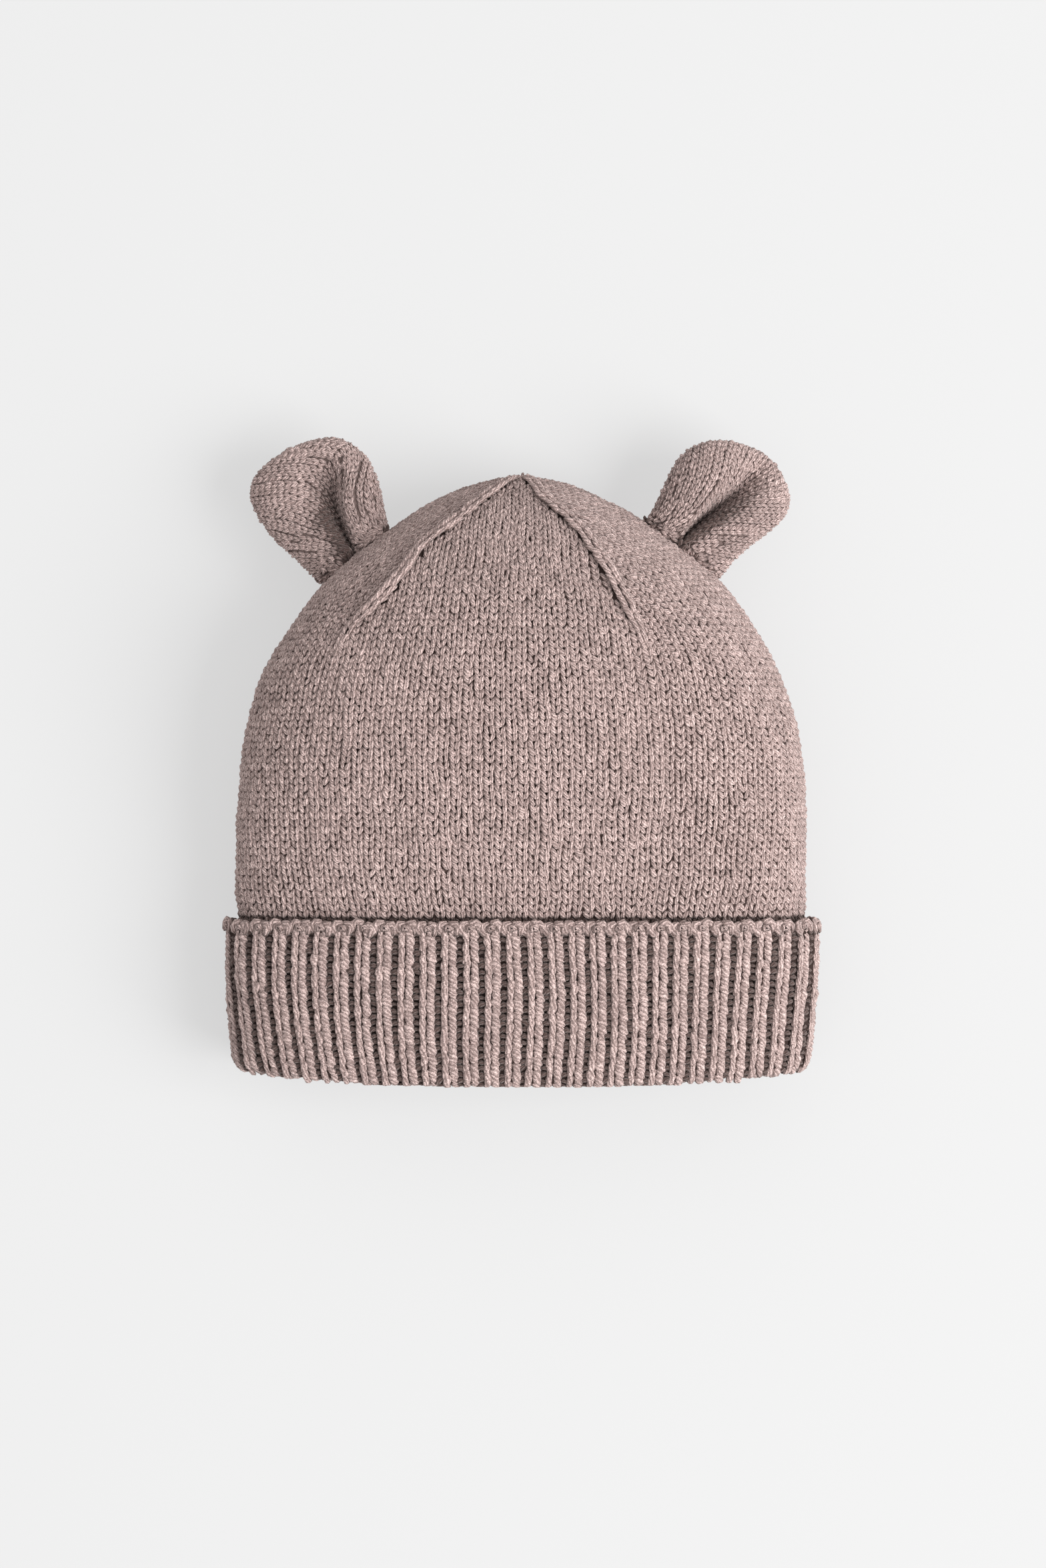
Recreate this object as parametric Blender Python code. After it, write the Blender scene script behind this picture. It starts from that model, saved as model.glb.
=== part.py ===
"""A knitted baby hat with a turned-up ribbed cuff and two folded ears, lying on its back.

X runs across the hat, +Y from the mouth to the tip of the crown, and +Z up from the surface
that the hat lies on. The origin is on that surface, under the middle of the hat. Metres.
"""

import math
from collections import namedtuple

import bmesh
import bpy
import numpy as np

# Lengths along the hat
HAT_LENGTH = 0.1934  # bottom fold of the cuff to the tip of the crown
CUFF_LENGTH = 0.0520  # bottom fold to the cuff's upper edge
CUFF_OVERLAP = 0.0060  # how far the cuff's upper edge covers the crown's lower edge
FOLD_BOW = 0.0045  # how much higher the bottom fold lies at the hat's sides than in the middle

# Widths and lying heights
CUFF_WIDTH = 0.1900
CUFF_DEPTH = 0.0500
CROWN_DEPTH = 0.0660

# Knitted walls
CROWN_WALL = 0.0022
RIB_LAYER = 0.0021  # one layer of ribbing, measured in a recess
RIB_RIDGE = 0.0013  # how far a rib stands over the recess beside it
RIB_COUNT = 60
RIB_FLANK = 0.27  # share of a rib's width from the middle of a recess to the crest's edge
RIB_SWAY = 0.0009  # how far a rib wanders to either side
RIB_CAP = 0.0006  # how far each rib's end stands over the cuff's upper edge
CAP_HEIGHT = 0.6  # share of the outer layer's thickness under that end's outer edge
LAYER_GAP = 0.0004  # between the cuff's two layers
CUFF_FLARE = 0.0007  # how much further the cuff's upper edge stands off the crown
SEAM_GAP = 0.0003  # between pieces that are knitted or sewn together

# Raised lines where stitches were taken in, from the sides of the front and back to the tip
DART_RIDGE = 0.0011
DART_WIDTH = 0.0026

# Ears
EAR_LENGTH = 0.0398  # sewn edge to the rim
EAR_HALF_WIDTH = 0.0197
EAR_SWELL = 0.0078  # how far the folded flaps stand over the ear's rim
EAR_BACK = 0.0036  # how far the ear's under side swells below its rim
EAR_PLY = 0.0042  # two layers of plain knitting
EAR_DROOP = math.radians(5)

# Worked out from the sizes above
CUFF_STANDOFF = LAYER_GAP + RIB_LAYER + RIB_RIDGE
BODY_HALF_WIDTH = CUFF_WIDTH / 2 - CUFF_STANDOFF
CUFF_BODY_TOP = CUFF_DEPTH - CUFF_STANDOFF
CROWN_EDGE = CUFF_LENGTH - CUFF_OVERLAP  # the crown's lower edge, over the fold
CROWN_LENGTH = HAT_LENGTH - CUFF_LENGTH  # what shows over the cuff
INNER_LENGTH = CROWN_EDGE - SEAM_GAP  # the cuff's inner layer, which carries the crown

# Roundness of the cross-sections: 2 is an ellipse, more is squarer
TOP_FULLNESS = 2.2
UNDER_FULLNESS = 2.6
BELLY = 0.45  # height of the widest line, as a share of the section's height
SQUAT = 1.25  # how far the section's lower half would reach if nothing held it up
SETTLE = 0.045  # share of the section's height over which it eases into the flat underside
RING_POINTS = 720

# The body's outer line. level: 0 at the fold, 1 at the cuff's upper edge, 2 at the tip.
# left, right: shares of BODY_HALF_WIDTH. The top is cuff_top of CUFF_BODY_TOP plus crown_top of
# CROWN_DEPTH. The underside is lift of CUFF_STANDOFF plus under of CROWN_DEPTH.
Body = namedtuple("Body", "level left right cuff_top crown_top lift under")
BODY = (
    Body(0.000, 0.975, 0.970, 1.00, 0.000, 1.00, 0.000),
    Body(0.149, 0.992, 0.986, 1.00, 0.000, 1.00, 0.000),
    Body(0.409, 0.998, 0.988, 1.00, 0.000, 1.00, 0.000),
    Body(0.744, 0.998, 0.994, 1.00, 0.000, 1.00, 0.000),
    Body(1.010, 1.000, 0.998, 1.00, 0.000, 1.00, 0.000),
    Body(1.059, 1.012, 0.999, 0.83, 0.170, 0.40, 0.000),
    Body(1.119, 1.010, 0.999, 0.62, 0.370, 0.05, 0.000),
    Body(1.179, 1.008, 0.999, 0.40, 0.560, 0.00, 0.000),
    Body(1.328, 0.989, 0.991, 0.10, 0.870, 0.00, 0.000),
    Body(1.419, 0.970, 0.972, 0.00, 0.970, 0.00, 0.000),
    Body(1.479, 0.949, 0.944, 0.00, 0.992, 0.00, 0.000),
    Body(1.539, 0.922, 0.908, 0.00, 1.000, 0.00, 0.000),
    Body(1.598, 0.876, 0.874, 0.00, 0.990, 0.00, 0.000),
    Body(1.658, 0.812, 0.808, 0.00, 0.962, 0.00, 0.000),
    Body(1.718, 0.749, 0.748, 0.00, 0.914, 0.00, 0.012),
    Body(1.778, 0.674, 0.668, 0.00, 0.845, 0.00, 0.036),
    Body(1.839, 0.559, 0.553, 0.00, 0.758, 0.00, 0.076),
    Body(1.898, 0.424, 0.428, 0.00, 0.655, 0.00, 0.132),
    Body(1.943, 0.318, 0.300, 0.00, 0.566, 0.00, 0.184),
    Body(1.973, 0.222, 0.196, 0.00, 0.490, 0.00, 0.232),
    Body(1.990, 0.132, 0.112, 0.00, 0.428, 0.00, 0.276),
    Body(2.000, 0.000, 0.000, 0.00, 0.350, 0.00, 0.350),
)

# The raised lines on the front, as shares of BODY_HALF_WIDTH from the middle. The back's
# lines lie at the mean of the two.
Dart = namedtuple("Dart", "level left right ridge")
DARTS = (
    Dart(1.453, 0.660, 0.520, 0.00),
    Dart(1.590, 0.650, 0.430, 0.15),
    Dart(1.644, 0.600, 0.398, 0.60),
    Dart(1.718, 0.478, 0.342, 1.00),
    Dart(1.778, 0.404, 0.295, 1.00),
    Dart(1.829, 0.350, 0.245, 1.00),
    Dart(1.869, 0.274, 0.200, 1.00),
    Dart(1.898, 0.216, 0.153, 0.95),
    Dart(1.943, 0.134, 0.077, 0.80),
    Dart(1.979, 0.062, 0.040, 0.60),
    Dart(2.000, 0.000, 0.000, 0.40),
)
DART_START = 1.590  # level under which the lines run straight down and fade

# Loft of the crown
CROWN_LEVELS = (1.010, 1.050, 1.104, 1.180, 1.289, 1.398, 1.494, 1.576, 1.644, 1.706, 1.761,
                1.811, 1.856, 1.896, 1.930, 1.959, 1.981, 1.9945)
GORE_COLUMNS = 11

# Cross-sections of the ears. along: share of EAR_LENGTH from the sewn edge. The next five are
# shares of EAR_HALF_WIDTH across the ear, from the edge towards the cuff to the edge towards
# the tip, by way of the two flaps' ridges and the valley between them. The last three are the
# heights of the ridges and the valley, as shares of EAR_SWELL.
Fold = namedtuple("Fold", "along low_edge low_ridge valley high_ridge high_edge low_top dip high_top")
LEFT_FOLDS = (
    Fold(-0.22, -0.66, -0.06, 0.02, 0.12, 0.66, 0.72, 0.35, 0.72),
    Fold(0.00, -0.70, -0.05, 0.04, 0.17, 0.71, 0.78, 0.20, 0.78),
    Fold(0.15, -0.74, -0.01, 0.11, 0.28, 0.89, 0.88, -0.15, 0.88),
    Fold(0.35, -0.80, -0.13, 0.23, 0.50, 1.10, 1.00, -0.38, 0.95),
    Fold(0.52, -0.84, -0.23, 0.45, 0.80, 1.17, 1.00, -0.20, 0.80),
    Fold(0.68, -0.82, -0.30, 0.54, 0.88, 1.13, 0.90, 0.22, 0.64),
    Fold(0.82, -0.75, -0.33, 0.32, 0.72, 0.97, 0.72, 0.48, 0.54),
    Fold(0.92, -0.62, -0.32, 0.08, 0.40, 0.62, 0.48, 0.42, 0.42),
    Fold(0.975, -0.44, -0.29, -0.10, 0.08, 0.25, 0.27, 0.26, 0.26),
    Fold(1.00, -0.14, -0.14, -0.14, -0.14, -0.14, 0.00, 0.00, 0.00),
)
RIGHT_FOLDS = (
    Fold(-0.22, -0.70, 0.04, 0.13, 0.22, 0.73, 0.72, 0.35, 0.72),
    Fold(0.00, -0.74, 0.08, 0.16, 0.23, 0.78, 0.78, 0.10, 0.78),
    Fold(0.15, -0.71, 0.03, 0.13, 0.24, 0.84, 0.90, -0.28, 0.90),
    Fold(0.35, -0.76, -0.11, 0.08, 0.27, 0.99, 1.00, -0.46, 1.00),
    Fold(0.55, -0.85, -0.29, 0.00, 0.27, 1.07, 0.95, -0.40, 1.00),
    Fold(0.72, -0.87, -0.45, -0.03, 0.27, 0.96, 0.84, -0.10, 0.88),
    Fold(0.85, -0.77, -0.52, -0.06, 0.23, 0.74, 0.62, 0.20, 0.60),
    Fold(0.94, -0.50, -0.34, -0.06, 0.15, 0.40, 0.40, 0.28, 0.38),
    Fold(0.98, -0.28, -0.18, -0.05, 0.06, 0.19, 0.24, 0.22, 0.24),
    Fold(1.00, -0.04, -0.04, -0.04, -0.04, -0.04, 0.00, 0.00, 0.00),
)
EAR_STATIONS = (-0.22, -0.02, 0.14, 0.28, 0.41, 0.54, 0.66, 0.77, 0.86, 0.93, 0.975)
FACE_STEPS = 16  # points across an ear's upper side
BACK_STEPS = 8  # points across its under side
CREASE_CRISP = 0.6  # 1 for a sharp valley, 0 for a rounded one

# An ear's place. side: -1 left, 1 right. level: where it is sewn on. heading: its direction,
# from +Y towards its own side.
Ear = namedtuple("Ear", "name side level heading folds")
EARS = (
    Ear("ear_left", -1, 1.822, math.radians(39), LEFT_FOLDS),
    Ear("ear_right", 1, 1.833, math.radians(41), RIGHT_FOLDS),
)

# Colour and finish
WOOL_COLOUR = (0.420, 0.312, 0.287, 1.0)
RIB_COLOUR = (0.375, 0.275, 0.252, 1.0)
WOOL_ROUGHNESS = 0.92
SHARP_ANGLE = math.radians(50)


def smooth_curve(knots, values, at):
    """Values on a smooth curve through the knots that doesn't swing past them."""
    knots, values = np.asarray(knots, float), np.asarray(values, float)
    steps = np.diff(knots)
    slopes = np.diff(values) / steps
    before, after = slopes[:-1], slopes[1:]
    same_way = before * after > 0
    total = np.where(same_way, before + after, 1.0)
    inner = np.where(same_way, 2 * before * after / total, 0.0)
    tangents = np.concatenate([slopes[:1], inner, slopes[-1:]])
    at = np.clip(np.asarray(at, float), knots[0], knots[-1])
    i = np.clip(np.searchsorted(knots, at, side="right") - 1, 0, len(steps) - 1)
    t = (at - knots[i]) / steps[i]
    ease = t * t * (3 - 2 * t)
    leave = t * (1 - t) ** 2 * tangents[i] * steps[i]
    arrive = t * t * (t - 1) * tangents[i + 1] * steps[i]
    return values[i] * (1 - ease) + values[i + 1] * ease + leave + arrive


def height_at(level):
    """The height over the fold at a level."""
    return min(level, 1.0) * CUFF_LENGTH + max(level - 1, 0.0) * CROWN_LENGTH


def read(table, column, level):
    """A column of a table at any level. The square root keeps the tip round."""
    to_tip = [-math.sqrt(2 - row.level) for row in table]
    return smooth_curve(to_tip, [getattr(row, column) for row in table], -math.sqrt(2 - level))


def settle(height, floor, ease):
    """Heights over the floor as they are, and under it flat, with a short eased change."""
    over = height - floor
    eased = (over + ease) ** 2 / (4 * ease)
    return floor + np.where(over > ease, over, np.where(over < -ease, 0.0, eased))


def body_ring(level):
    """The body's outer line at one level: X and Z of dense points, clockwise from the top."""
    turn = np.linspace(0, 2 * math.pi, RING_POINTS, endpoint=False)
    across, up = np.sin(turn), np.cos(turn)
    right = read(BODY, "right", level) * BODY_HALF_WIDTH
    left = read(BODY, "left", level) * BODY_HALF_WIDTH
    top = read(BODY, "cuff_top", level) * CUFF_BODY_TOP + read(BODY, "crown_top", level) * CROWN_DEPTH
    under = read(BODY, "lift", level) * CUFF_STANDOFF + read(BODY, "under", level) * CROWN_DEPTH
    belly = under + BELLY * (top - under)
    power = np.where(up >= 0, 2 / TOP_FULLNESS, 2 / UNDER_FULLNESS)
    x = np.where(across >= 0, right, left) * np.sign(across) * np.abs(across) ** power
    swell = np.abs(up) ** power
    z = np.where(up >= 0, belly + (top - belly) * swell, belly - SQUAT * (belly - under) * swell)
    ease = max(SETTLE * (top - under), 1e-6)
    return np.column_stack([x, settle(z, under, ease)])


def ring_lengths(ring):
    """The length along a closed ring from its first point to each point and back to it."""
    steps = np.linalg.norm(np.roll(ring, -1, axis=0) - ring, axis=1)
    return np.concatenate([[0], np.cumsum(steps)])


def on_ring(ring, shares):
    """Points and outward directions at shares of a closed ring's length."""
    lengths = ring_lengths(ring)
    closed = np.vstack([ring, ring[:1]])
    tangent = np.roll(ring, -1, axis=0) - np.roll(ring, 1, axis=0)
    tangent /= np.linalg.norm(tangent, axis=1)[:, None]
    closed_tangent = np.vstack([tangent, tangent[:1]])
    at = np.mod(shares, 1.0) * lengths[-1]
    point = np.column_stack([np.interp(at, lengths, closed[:, k]) for k in range(2)])
    along = np.column_stack([np.interp(at, lengths, closed_tangent[:, k]) for k in range(2)])
    along /= np.linalg.norm(along, axis=1)[:, None]
    return point, np.column_stack([-along[:, 1], along[:, 0]])


def share_at(ring, x, upper):
    """The share of a ring's length at which it passes x, on its upper or its lower side."""
    lengths = ring_lengths(ring)[:-1] / ring_lengths(ring)[-1]
    turn = np.arange(RING_POINTS) / RING_POINTS
    side = (turn <= 0.25) | (turn >= 0.75) if upper else (turn > 0.25) & (turn < 0.75)
    position = np.where(turn >= 0.75, lengths - 1, lengths) if upper else lengths
    order = np.argsort(ring[side, 0])
    return float(np.interp(x, ring[side, 0][order], position[side][order]))


def dart_shares(level):
    """Where the four raised lines cross a ring: front right, back right, back left, front left."""
    level = max(level, DART_START)
    ring = body_ring(level)
    right = read(DARTS, "right", level) * BODY_HALF_WIDTH
    left = read(DARTS, "left", level) * BODY_HALF_WIDTH
    mean = (right + left) / 2
    return (
        share_at(ring, right, True),
        share_at(ring, mean, False),
        share_at(ring, -mean, False),
        share_at(ring, -left, True) + 1,
    )


def crown_row(level):
    """One ring of the crown's outer surface, with its columns gathered along the raised lines."""
    ring = body_ring(level)
    flank = min(DART_WIDTH / 2 / ring_lengths(ring)[-1], 0.02)
    darts = dart_shares(level)
    shares, ridges = [], []
    for start, end in zip(darts, darts[1:] + (darts[0] + 1,)):
        shares += [start] + list(np.linspace(start + flank, end - flank, GORE_COLUMNS + 1))
        ridges += [read(DARTS, "ridge", level) * DART_RIDGE] + [0.0] * (GORE_COLUMNS + 1)
    point, outward = on_ring(ring, np.array(shares))
    lifted = point + outward * np.array(ridges)[:, None]
    lifted[:, 1] = np.where(point[:, 1] <= point[:, 1].min() + 1e-9, point[:, 1], lifted[:, 1])
    return np.column_stack([lifted[:, 0], np.full(len(lifted), height_at(level)), lifted[:, 1]])


def add_rings(mesh, rings, closed=False):
    """Vertices for each ring, and the quads between one ring and the next."""
    rows = [[mesh.verts.new(point) for point in ring] for ring in rings]
    following = rows[1:] + rows[:1] if closed else rows[1:]
    for row, after in zip(rows, following):
        for i in range(len(row)):
            j = (i + 1) % len(row)
            mesh.faces.new((row[i], row[j], after[j], after[i]))
    return rows


def add_fan(mesh, ring, point):
    """A cone of triangles from a ring to a point."""
    centre = mesh.verts.new(point)
    for i in range(len(ring)):
        mesh.faces.new((ring[i], ring[(i + 1) % len(ring)], centre))


def finish(mesh, name, colour, parent):
    """The finished mesh as an object with its own material, shaded smooth."""
    bmesh.ops.recalc_face_normals(mesh, faces=mesh.faces)
    data = bpy.data.meshes.new(name)
    mesh.to_mesh(data)
    mesh.free()
    data.shade_smooth()
    data.set_sharp_from_angle(angle=SHARP_ANGLE)
    material = bpy.data.materials.new(name + "_wool")
    material.use_nodes = True
    shader = material.node_tree.nodes["Principled BSDF"]
    shader.inputs["Base Color"].default_value = colour
    shader.inputs["Roughness"].default_value = WOOL_ROUGHNESS
    shader.inputs["Metallic"].default_value = 0.0
    data.materials.append(material)
    thing = bpy.data.objects.new(name, data)
    bpy.context.scene.collection.objects.link(thing)
    thing.parent = parent
    return thing


def crown_surface(lowest):
    """The crown's outer surface from a level to the tip, open at its lower edge."""
    mesh = bmesh.new()
    levels = [lowest] + [level for level in CROWN_LEVELS if level > lowest]
    rows = add_rings(mesh, [crown_row(level) for level in levels])
    tip = (0.0, HAT_LENGTH, read(BODY, "crown_top", 2.0) * CROWN_DEPTH)
    add_fan(mesh, rows[-1], tip)
    return mesh, rows[0]


def make_crown(parent):
    """The domed body: one layer of plain knitting, open at its lower edge."""
    mesh, _ = crown_surface(CROWN_EDGE / CUFF_LENGTH)
    crown = finish(mesh, "crown", WOOL_COLOUR, parent)
    wall = crown.modifiers.new("knitted_wall", "SOLIDIFY")
    wall.thickness = CROWN_WALL
    wall.offset = -1.0
    wall.use_even_offset = True
    return crown


def rib_sway(share, height):
    """How far a rib wanders sideways at a height over the fold, as a length."""
    turn = 2 * math.pi * share
    climb = height / CUFF_LENGTH
    wave = np.sin(3 * turn + 2.3 * climb) * np.sin(math.pi * climb)
    lean = 0.8 * np.sin(turn) * (climb - 0.5)
    return RIB_SWAY * (wave + lean)


def cuff_ring(height, offset, shares):
    """One ring of the cuff at a height over the fold, offset outwards from the body's line."""
    ring = body_ring(min(max(height, 0.0), CUFF_LENGTH) / CUFF_LENGTH)
    swayed = shares + rib_sway(shares, height) / ring_lengths(ring)[-1]
    point, outward = on_ring(ring, swayed)
    place = point + outward * np.asarray(offset)[:, None]
    near_fold = max(0.0, 1 - height / INNER_LENGTH)
    bow = FOLD_BOW * (point[:, 0] / BODY_HALF_WIDTH) ** 2 * near_fold
    return place, bow


def make_cuff(parent):
    """The ribbed band: an inner layer that carries the crown, a fold, and the turned-up layer."""
    columns = np.arange(3 * RIB_COUNT)
    crest = columns % 3 != 0
    within = np.array([0.0, RIB_FLANK, 1 - RIB_FLANK])
    shares = (columns // 3 + within[columns % 3]) / RIB_COUNT
    outer_face = LAYER_GAP + RIB_LAYER + RIB_RIDGE * crest
    inner_face = -RIB_LAYER - RIB_RIDGE * ~crest
    middle = (outer_face + inner_face) / 2
    radius = (outer_face - inner_face) / 2
    none = np.zeros(len(columns))
    cap = RIB_CAP * crest
    slot = RIB_LAYER + RIB_RIDGE  # where the space between the layers ends, over the fold
    loops = [(share * CUFF_LENGTH, none, outer_face) for share in (0.96, 0.76, 0.55, 0.34)]
    for bend in np.radians([0, 45, 90, 135, 180]):
        loops.append((0.0, radius * (1 - math.sin(bend)), middle + radius * math.cos(bend)))
    loops += [
        (0.5 * INNER_LENGTH, none, inner_face),
        (INNER_LENGTH, none, inner_face),
        (INNER_LENGTH, none, none),
        (0.5 * INNER_LENGTH, none, none),
        (slot, none, none),
        (slot, none, none + LAYER_GAP),
        (0.5 * CUFF_LENGTH, none, none + LAYER_GAP),
        (CUFF_LENGTH, cap - RIB_CAP, none + LAYER_GAP),
        (CUFF_LENGTH, cap, LAYER_GAP + CAP_HEIGHT * (RIB_LAYER + RIB_RIDGE * crest)),
    ]
    rings = []
    for height, extra, offset in loops:
        outer = offset >= LAYER_GAP / 2
        flare = CUFF_FLARE * (height / CUFF_LENGTH) ** 3 * outer
        place, bow = cuff_ring(height, offset + flare, shares)
        place[:, 1] = np.maximum(place[:, 1], 0.0)
        rings.append(np.column_stack([place[:, 0], height + extra + bow, place[:, 1]]))
    mesh = bmesh.new()
    add_rings(mesh, rings, closed=True)
    return finish(mesh, "cuff", RIB_COLOUR, parent)


def across_ear(row, steps, heights, crisp):
    """Across and up at steps from 0, the low edge, to 4, the high edge, by way of the ridges."""
    low, middle, high = heights
    part = np.minimum(steps.astype(int), 3)
    t = steps - part
    turn = t * math.pi / 2
    to_valley = crisp * np.cos(turn) + (1 - crisp) * np.cos(turn) ** 2
    from_valley = crisp * np.sin(turn) + (1 - crisp) * np.sin(turn) ** 2
    low_flap = row.low_edge + (row.low_ridge - row.low_edge) * (1 - np.cos(turn))
    high_flap = row.high_ridge + (row.high_edge - row.high_ridge) * np.sin(turn)
    across = np.choose(part, [
        low_flap,
        row.low_ridge + (row.valley - row.low_ridge) * t,
        row.valley + (row.high_ridge - row.valley) * t,
        high_flap,
    ])
    up = np.choose(part, [
        low * np.sin(turn),
        middle + (low - middle) * to_valley,
        middle + (high - middle) * from_valley,
        high * np.cos(turn),
    ])
    return across, up


def ear_ring(ear, along):
    """One closed cross-section of an ear, as points along, across and up from its sewn edge."""
    stations = [row.along for row in ear.folds]
    columns = zip(*ear.folds)
    row = Fold(*[float(smooth_curve(stations, column, along)) for column in columns])
    face = np.linspace(0, 4, FACE_STEPS + 1)
    back = np.linspace(4, 0, BACK_STEPS + 1)[1:-1]
    tops = (row.low_top, row.dip, row.high_top)
    share = (row.low_top + row.high_top) / 2
    deep = -EAR_BACK * min(1.0, 1.6 * share)
    under = (deep, min(deep, row.dip * EAR_SWELL - EAR_PLY * min(1.0, 2 * share)), deep)
    across, up = across_ear(row, face, [top * EAR_SWELL for top in tops], CREASE_CRISP)
    back_across, back_up = across_ear(row, back, under, 0.0)
    across = np.concatenate([across, back_across]) * EAR_HALF_WIDTH
    up = np.concatenate([up, back_up])
    return np.column_stack([np.full(len(across), along * EAR_LENGTH), across, up])


def place_ear(ear, points):
    """Points on an ear moved to its place on the hat."""
    ring = body_ring(ear.level)
    edge = ring[np.argmax(ring[:, 0] * ear.side)]
    along, across, above = np.atleast_2d(points).T
    out = along * math.cos(EAR_DROOP) + above * math.sin(EAR_DROOP)
    up = above * math.cos(EAR_DROOP) - along * math.sin(EAR_DROOP)
    x = edge[0] + ear.side * (out * math.sin(ear.heading) - across * math.cos(ear.heading))
    y = height_at(ear.level) + out * math.cos(ear.heading) + across * math.sin(ear.heading)
    return np.column_stack([x, y, edge[1] + up])


def make_ear(ear, clearance, parent):
    """A doubled lobe, pinched and folded where it is sewn to the crown."""
    mesh = bmesh.new()
    rows = add_rings(mesh, [place_ear(ear, ear_ring(ear, along)) for along in EAR_STATIONS])
    mesh.faces.new(rows[0])
    rim = ear.folds[-1]
    add_fan(mesh, rows[-1], place_ear(ear, [EAR_LENGTH, rim.valley * EAR_HALF_WIDTH, 0.0])[0])
    lobe = finish(mesh, ear.name, WOOL_COLOUR, parent)
    seat = lobe.modifiers.new("sewn_edge", "BOOLEAN")
    seat.operation = "DIFFERENCE"
    seat.solver = "EXACT"
    seat.object = clearance
    return lobe


def make_clearance(parent):
    """The crown's outer form, closed and a seam's gap larger, which ends the ears. Not shown."""
    mesh, lower = crown_surface(CROWN_LEVELS[4])
    mesh.faces.new(lower)
    bmesh.ops.recalc_face_normals(mesh, faces=mesh.faces)
    mesh.normal_update()
    for vertex in mesh.verts:
        vertex.co += vertex.normal * SEAM_GAP * vertex.calc_shell_factor()
    clearance = finish(mesh, "crown_clearance", WOOL_COLOUR, parent)
    clearance.hide_render = True
    clearance.display_type = "WIRE"
    return clearance


def centre(parent, pieces):
    """Moves the whole hat so that the origin lies under its middle."""
    bpy.context.view_layer.update()
    view = bpy.context.evaluated_depsgraph_get()
    corners = []
    for piece in pieces:
        shown = piece.evaluated_get(view)
        corners += [shown.matrix_world @ vertex.co for vertex in shown.data.vertices]
    low = [min(corner[k] for corner in corners) for k in range(3)]
    high = [max(corner[k] for corner in corners) for k in range(3)]
    parent.location = (-(low[0] + high[0]) / 2, -(low[1] + high[1]) / 2, -low[2])
    bpy.context.view_layer.update()


def main():
    for thing in list(bpy.data.objects):
        bpy.data.objects.remove(thing)
    hat = bpy.data.objects.new("hat", None)
    bpy.context.scene.collection.objects.link(hat)
    clearance = make_clearance(hat)
    pieces = [make_crown(hat), make_cuff(hat)]
    pieces += [make_ear(ear, clearance, hat) for ear in EARS]
    centre(hat, pieces)


main()
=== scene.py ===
# %% [markdown]
# # A knitted baby hat with two folded ears
#
# The hat lies on its back. The crown is plain knitting, the turned-up cuff is one-by-one
# ribbing, and each ear is doubled plain knitting, pinched where it is sewn on.
# Each stitch is a short thick strand of yarn that lies on a ground cloth of the same wool.
# Everything is in metres: X across the hat, +Y towards the tip, +Z up from the floor.

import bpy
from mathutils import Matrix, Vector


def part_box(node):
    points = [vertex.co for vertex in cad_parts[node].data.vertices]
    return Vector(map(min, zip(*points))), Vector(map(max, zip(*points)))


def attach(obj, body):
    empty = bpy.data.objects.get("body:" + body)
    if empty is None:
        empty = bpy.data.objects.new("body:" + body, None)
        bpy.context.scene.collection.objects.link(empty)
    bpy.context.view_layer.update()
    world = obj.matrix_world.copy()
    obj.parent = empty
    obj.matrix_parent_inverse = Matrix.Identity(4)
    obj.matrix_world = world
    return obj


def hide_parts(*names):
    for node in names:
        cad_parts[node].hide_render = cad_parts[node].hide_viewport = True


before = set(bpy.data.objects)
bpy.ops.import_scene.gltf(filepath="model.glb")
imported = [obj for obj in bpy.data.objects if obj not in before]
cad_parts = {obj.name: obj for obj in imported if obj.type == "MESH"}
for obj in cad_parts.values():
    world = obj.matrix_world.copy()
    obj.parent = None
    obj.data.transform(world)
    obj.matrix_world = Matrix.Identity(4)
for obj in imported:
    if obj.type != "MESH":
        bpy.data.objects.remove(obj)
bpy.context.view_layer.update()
print("The frame's nodes:", ", ".join(sorted(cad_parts)))

# %% Tools that the later cells share
import math
from collections import namedtuple

import bpy
import numpy as np
from mathutils import Vector
from mathutils.bvhtree import BVHTree
from mathutils.kdtree import KDTree

RANDOM = np.random.default_rng(20)  # one seed, so every run draws the same numbers


def only(thing):
    """Selects one object and nothing else."""
    if bpy.context.object and bpy.context.object.mode != "OBJECT":
        bpy.ops.object.mode_set(mode="OBJECT")
    bpy.ops.object.select_all(action="DESELECT")
    thing.select_set(True)
    bpy.context.view_layer.objects.active = thing


def unit(vectors):
    """Vectors of length one."""
    size = np.linalg.norm(vectors, axis=-1, keepdims=True)
    return vectors / np.maximum(size, 1e-12)


def lay_on(ways, outs):
    """Directions laid down on a surface, each of length one. outs: the surface's own."""
    return unit(ways - outs * (ways * outs).sum(axis=1)[:, None])


print("(3, 4, 0) made a unit vector:", unit(np.array([3.0, 4.0, 0.0])))

# %% [markdown]
# The photograph was taken from straight above, so the camera looks straight down. A closer
# camera with a wider lens would show the same width but spread the hat's sides, so it stands
# well back, and its lens is worked out from how much of the table the picture shows.

# %% The camera
VIEW_CENTRE = (0.0002, -0.0075)
VIEW_HEIGHT = 0.498  # how much the picture shows from top to bottom
VIEW_LEVEL = 0.028  # the level in the hat at which it shows that much
VIEW_DISTANCE = 1.25
SENSOR_SIZE = 36.0

bpy.ops.object.camera_add(
    location=(*VIEW_CENTRE, VIEW_DISTANCE + VIEW_LEVEL), rotation=(0, 0, 0)
)
camera = bpy.context.object
camera.name = "camera"
camera.data.sensor_width = SENSOR_SIZE
camera.data.lens = SENSOR_SIZE * VIEW_DISTANCE / VIEW_HEIGHT
bpy.context.scene.camera = camera
print(f"The lens is {camera.data.lens:.0f} mm at {VIEW_DISTANCE} m")

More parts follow.
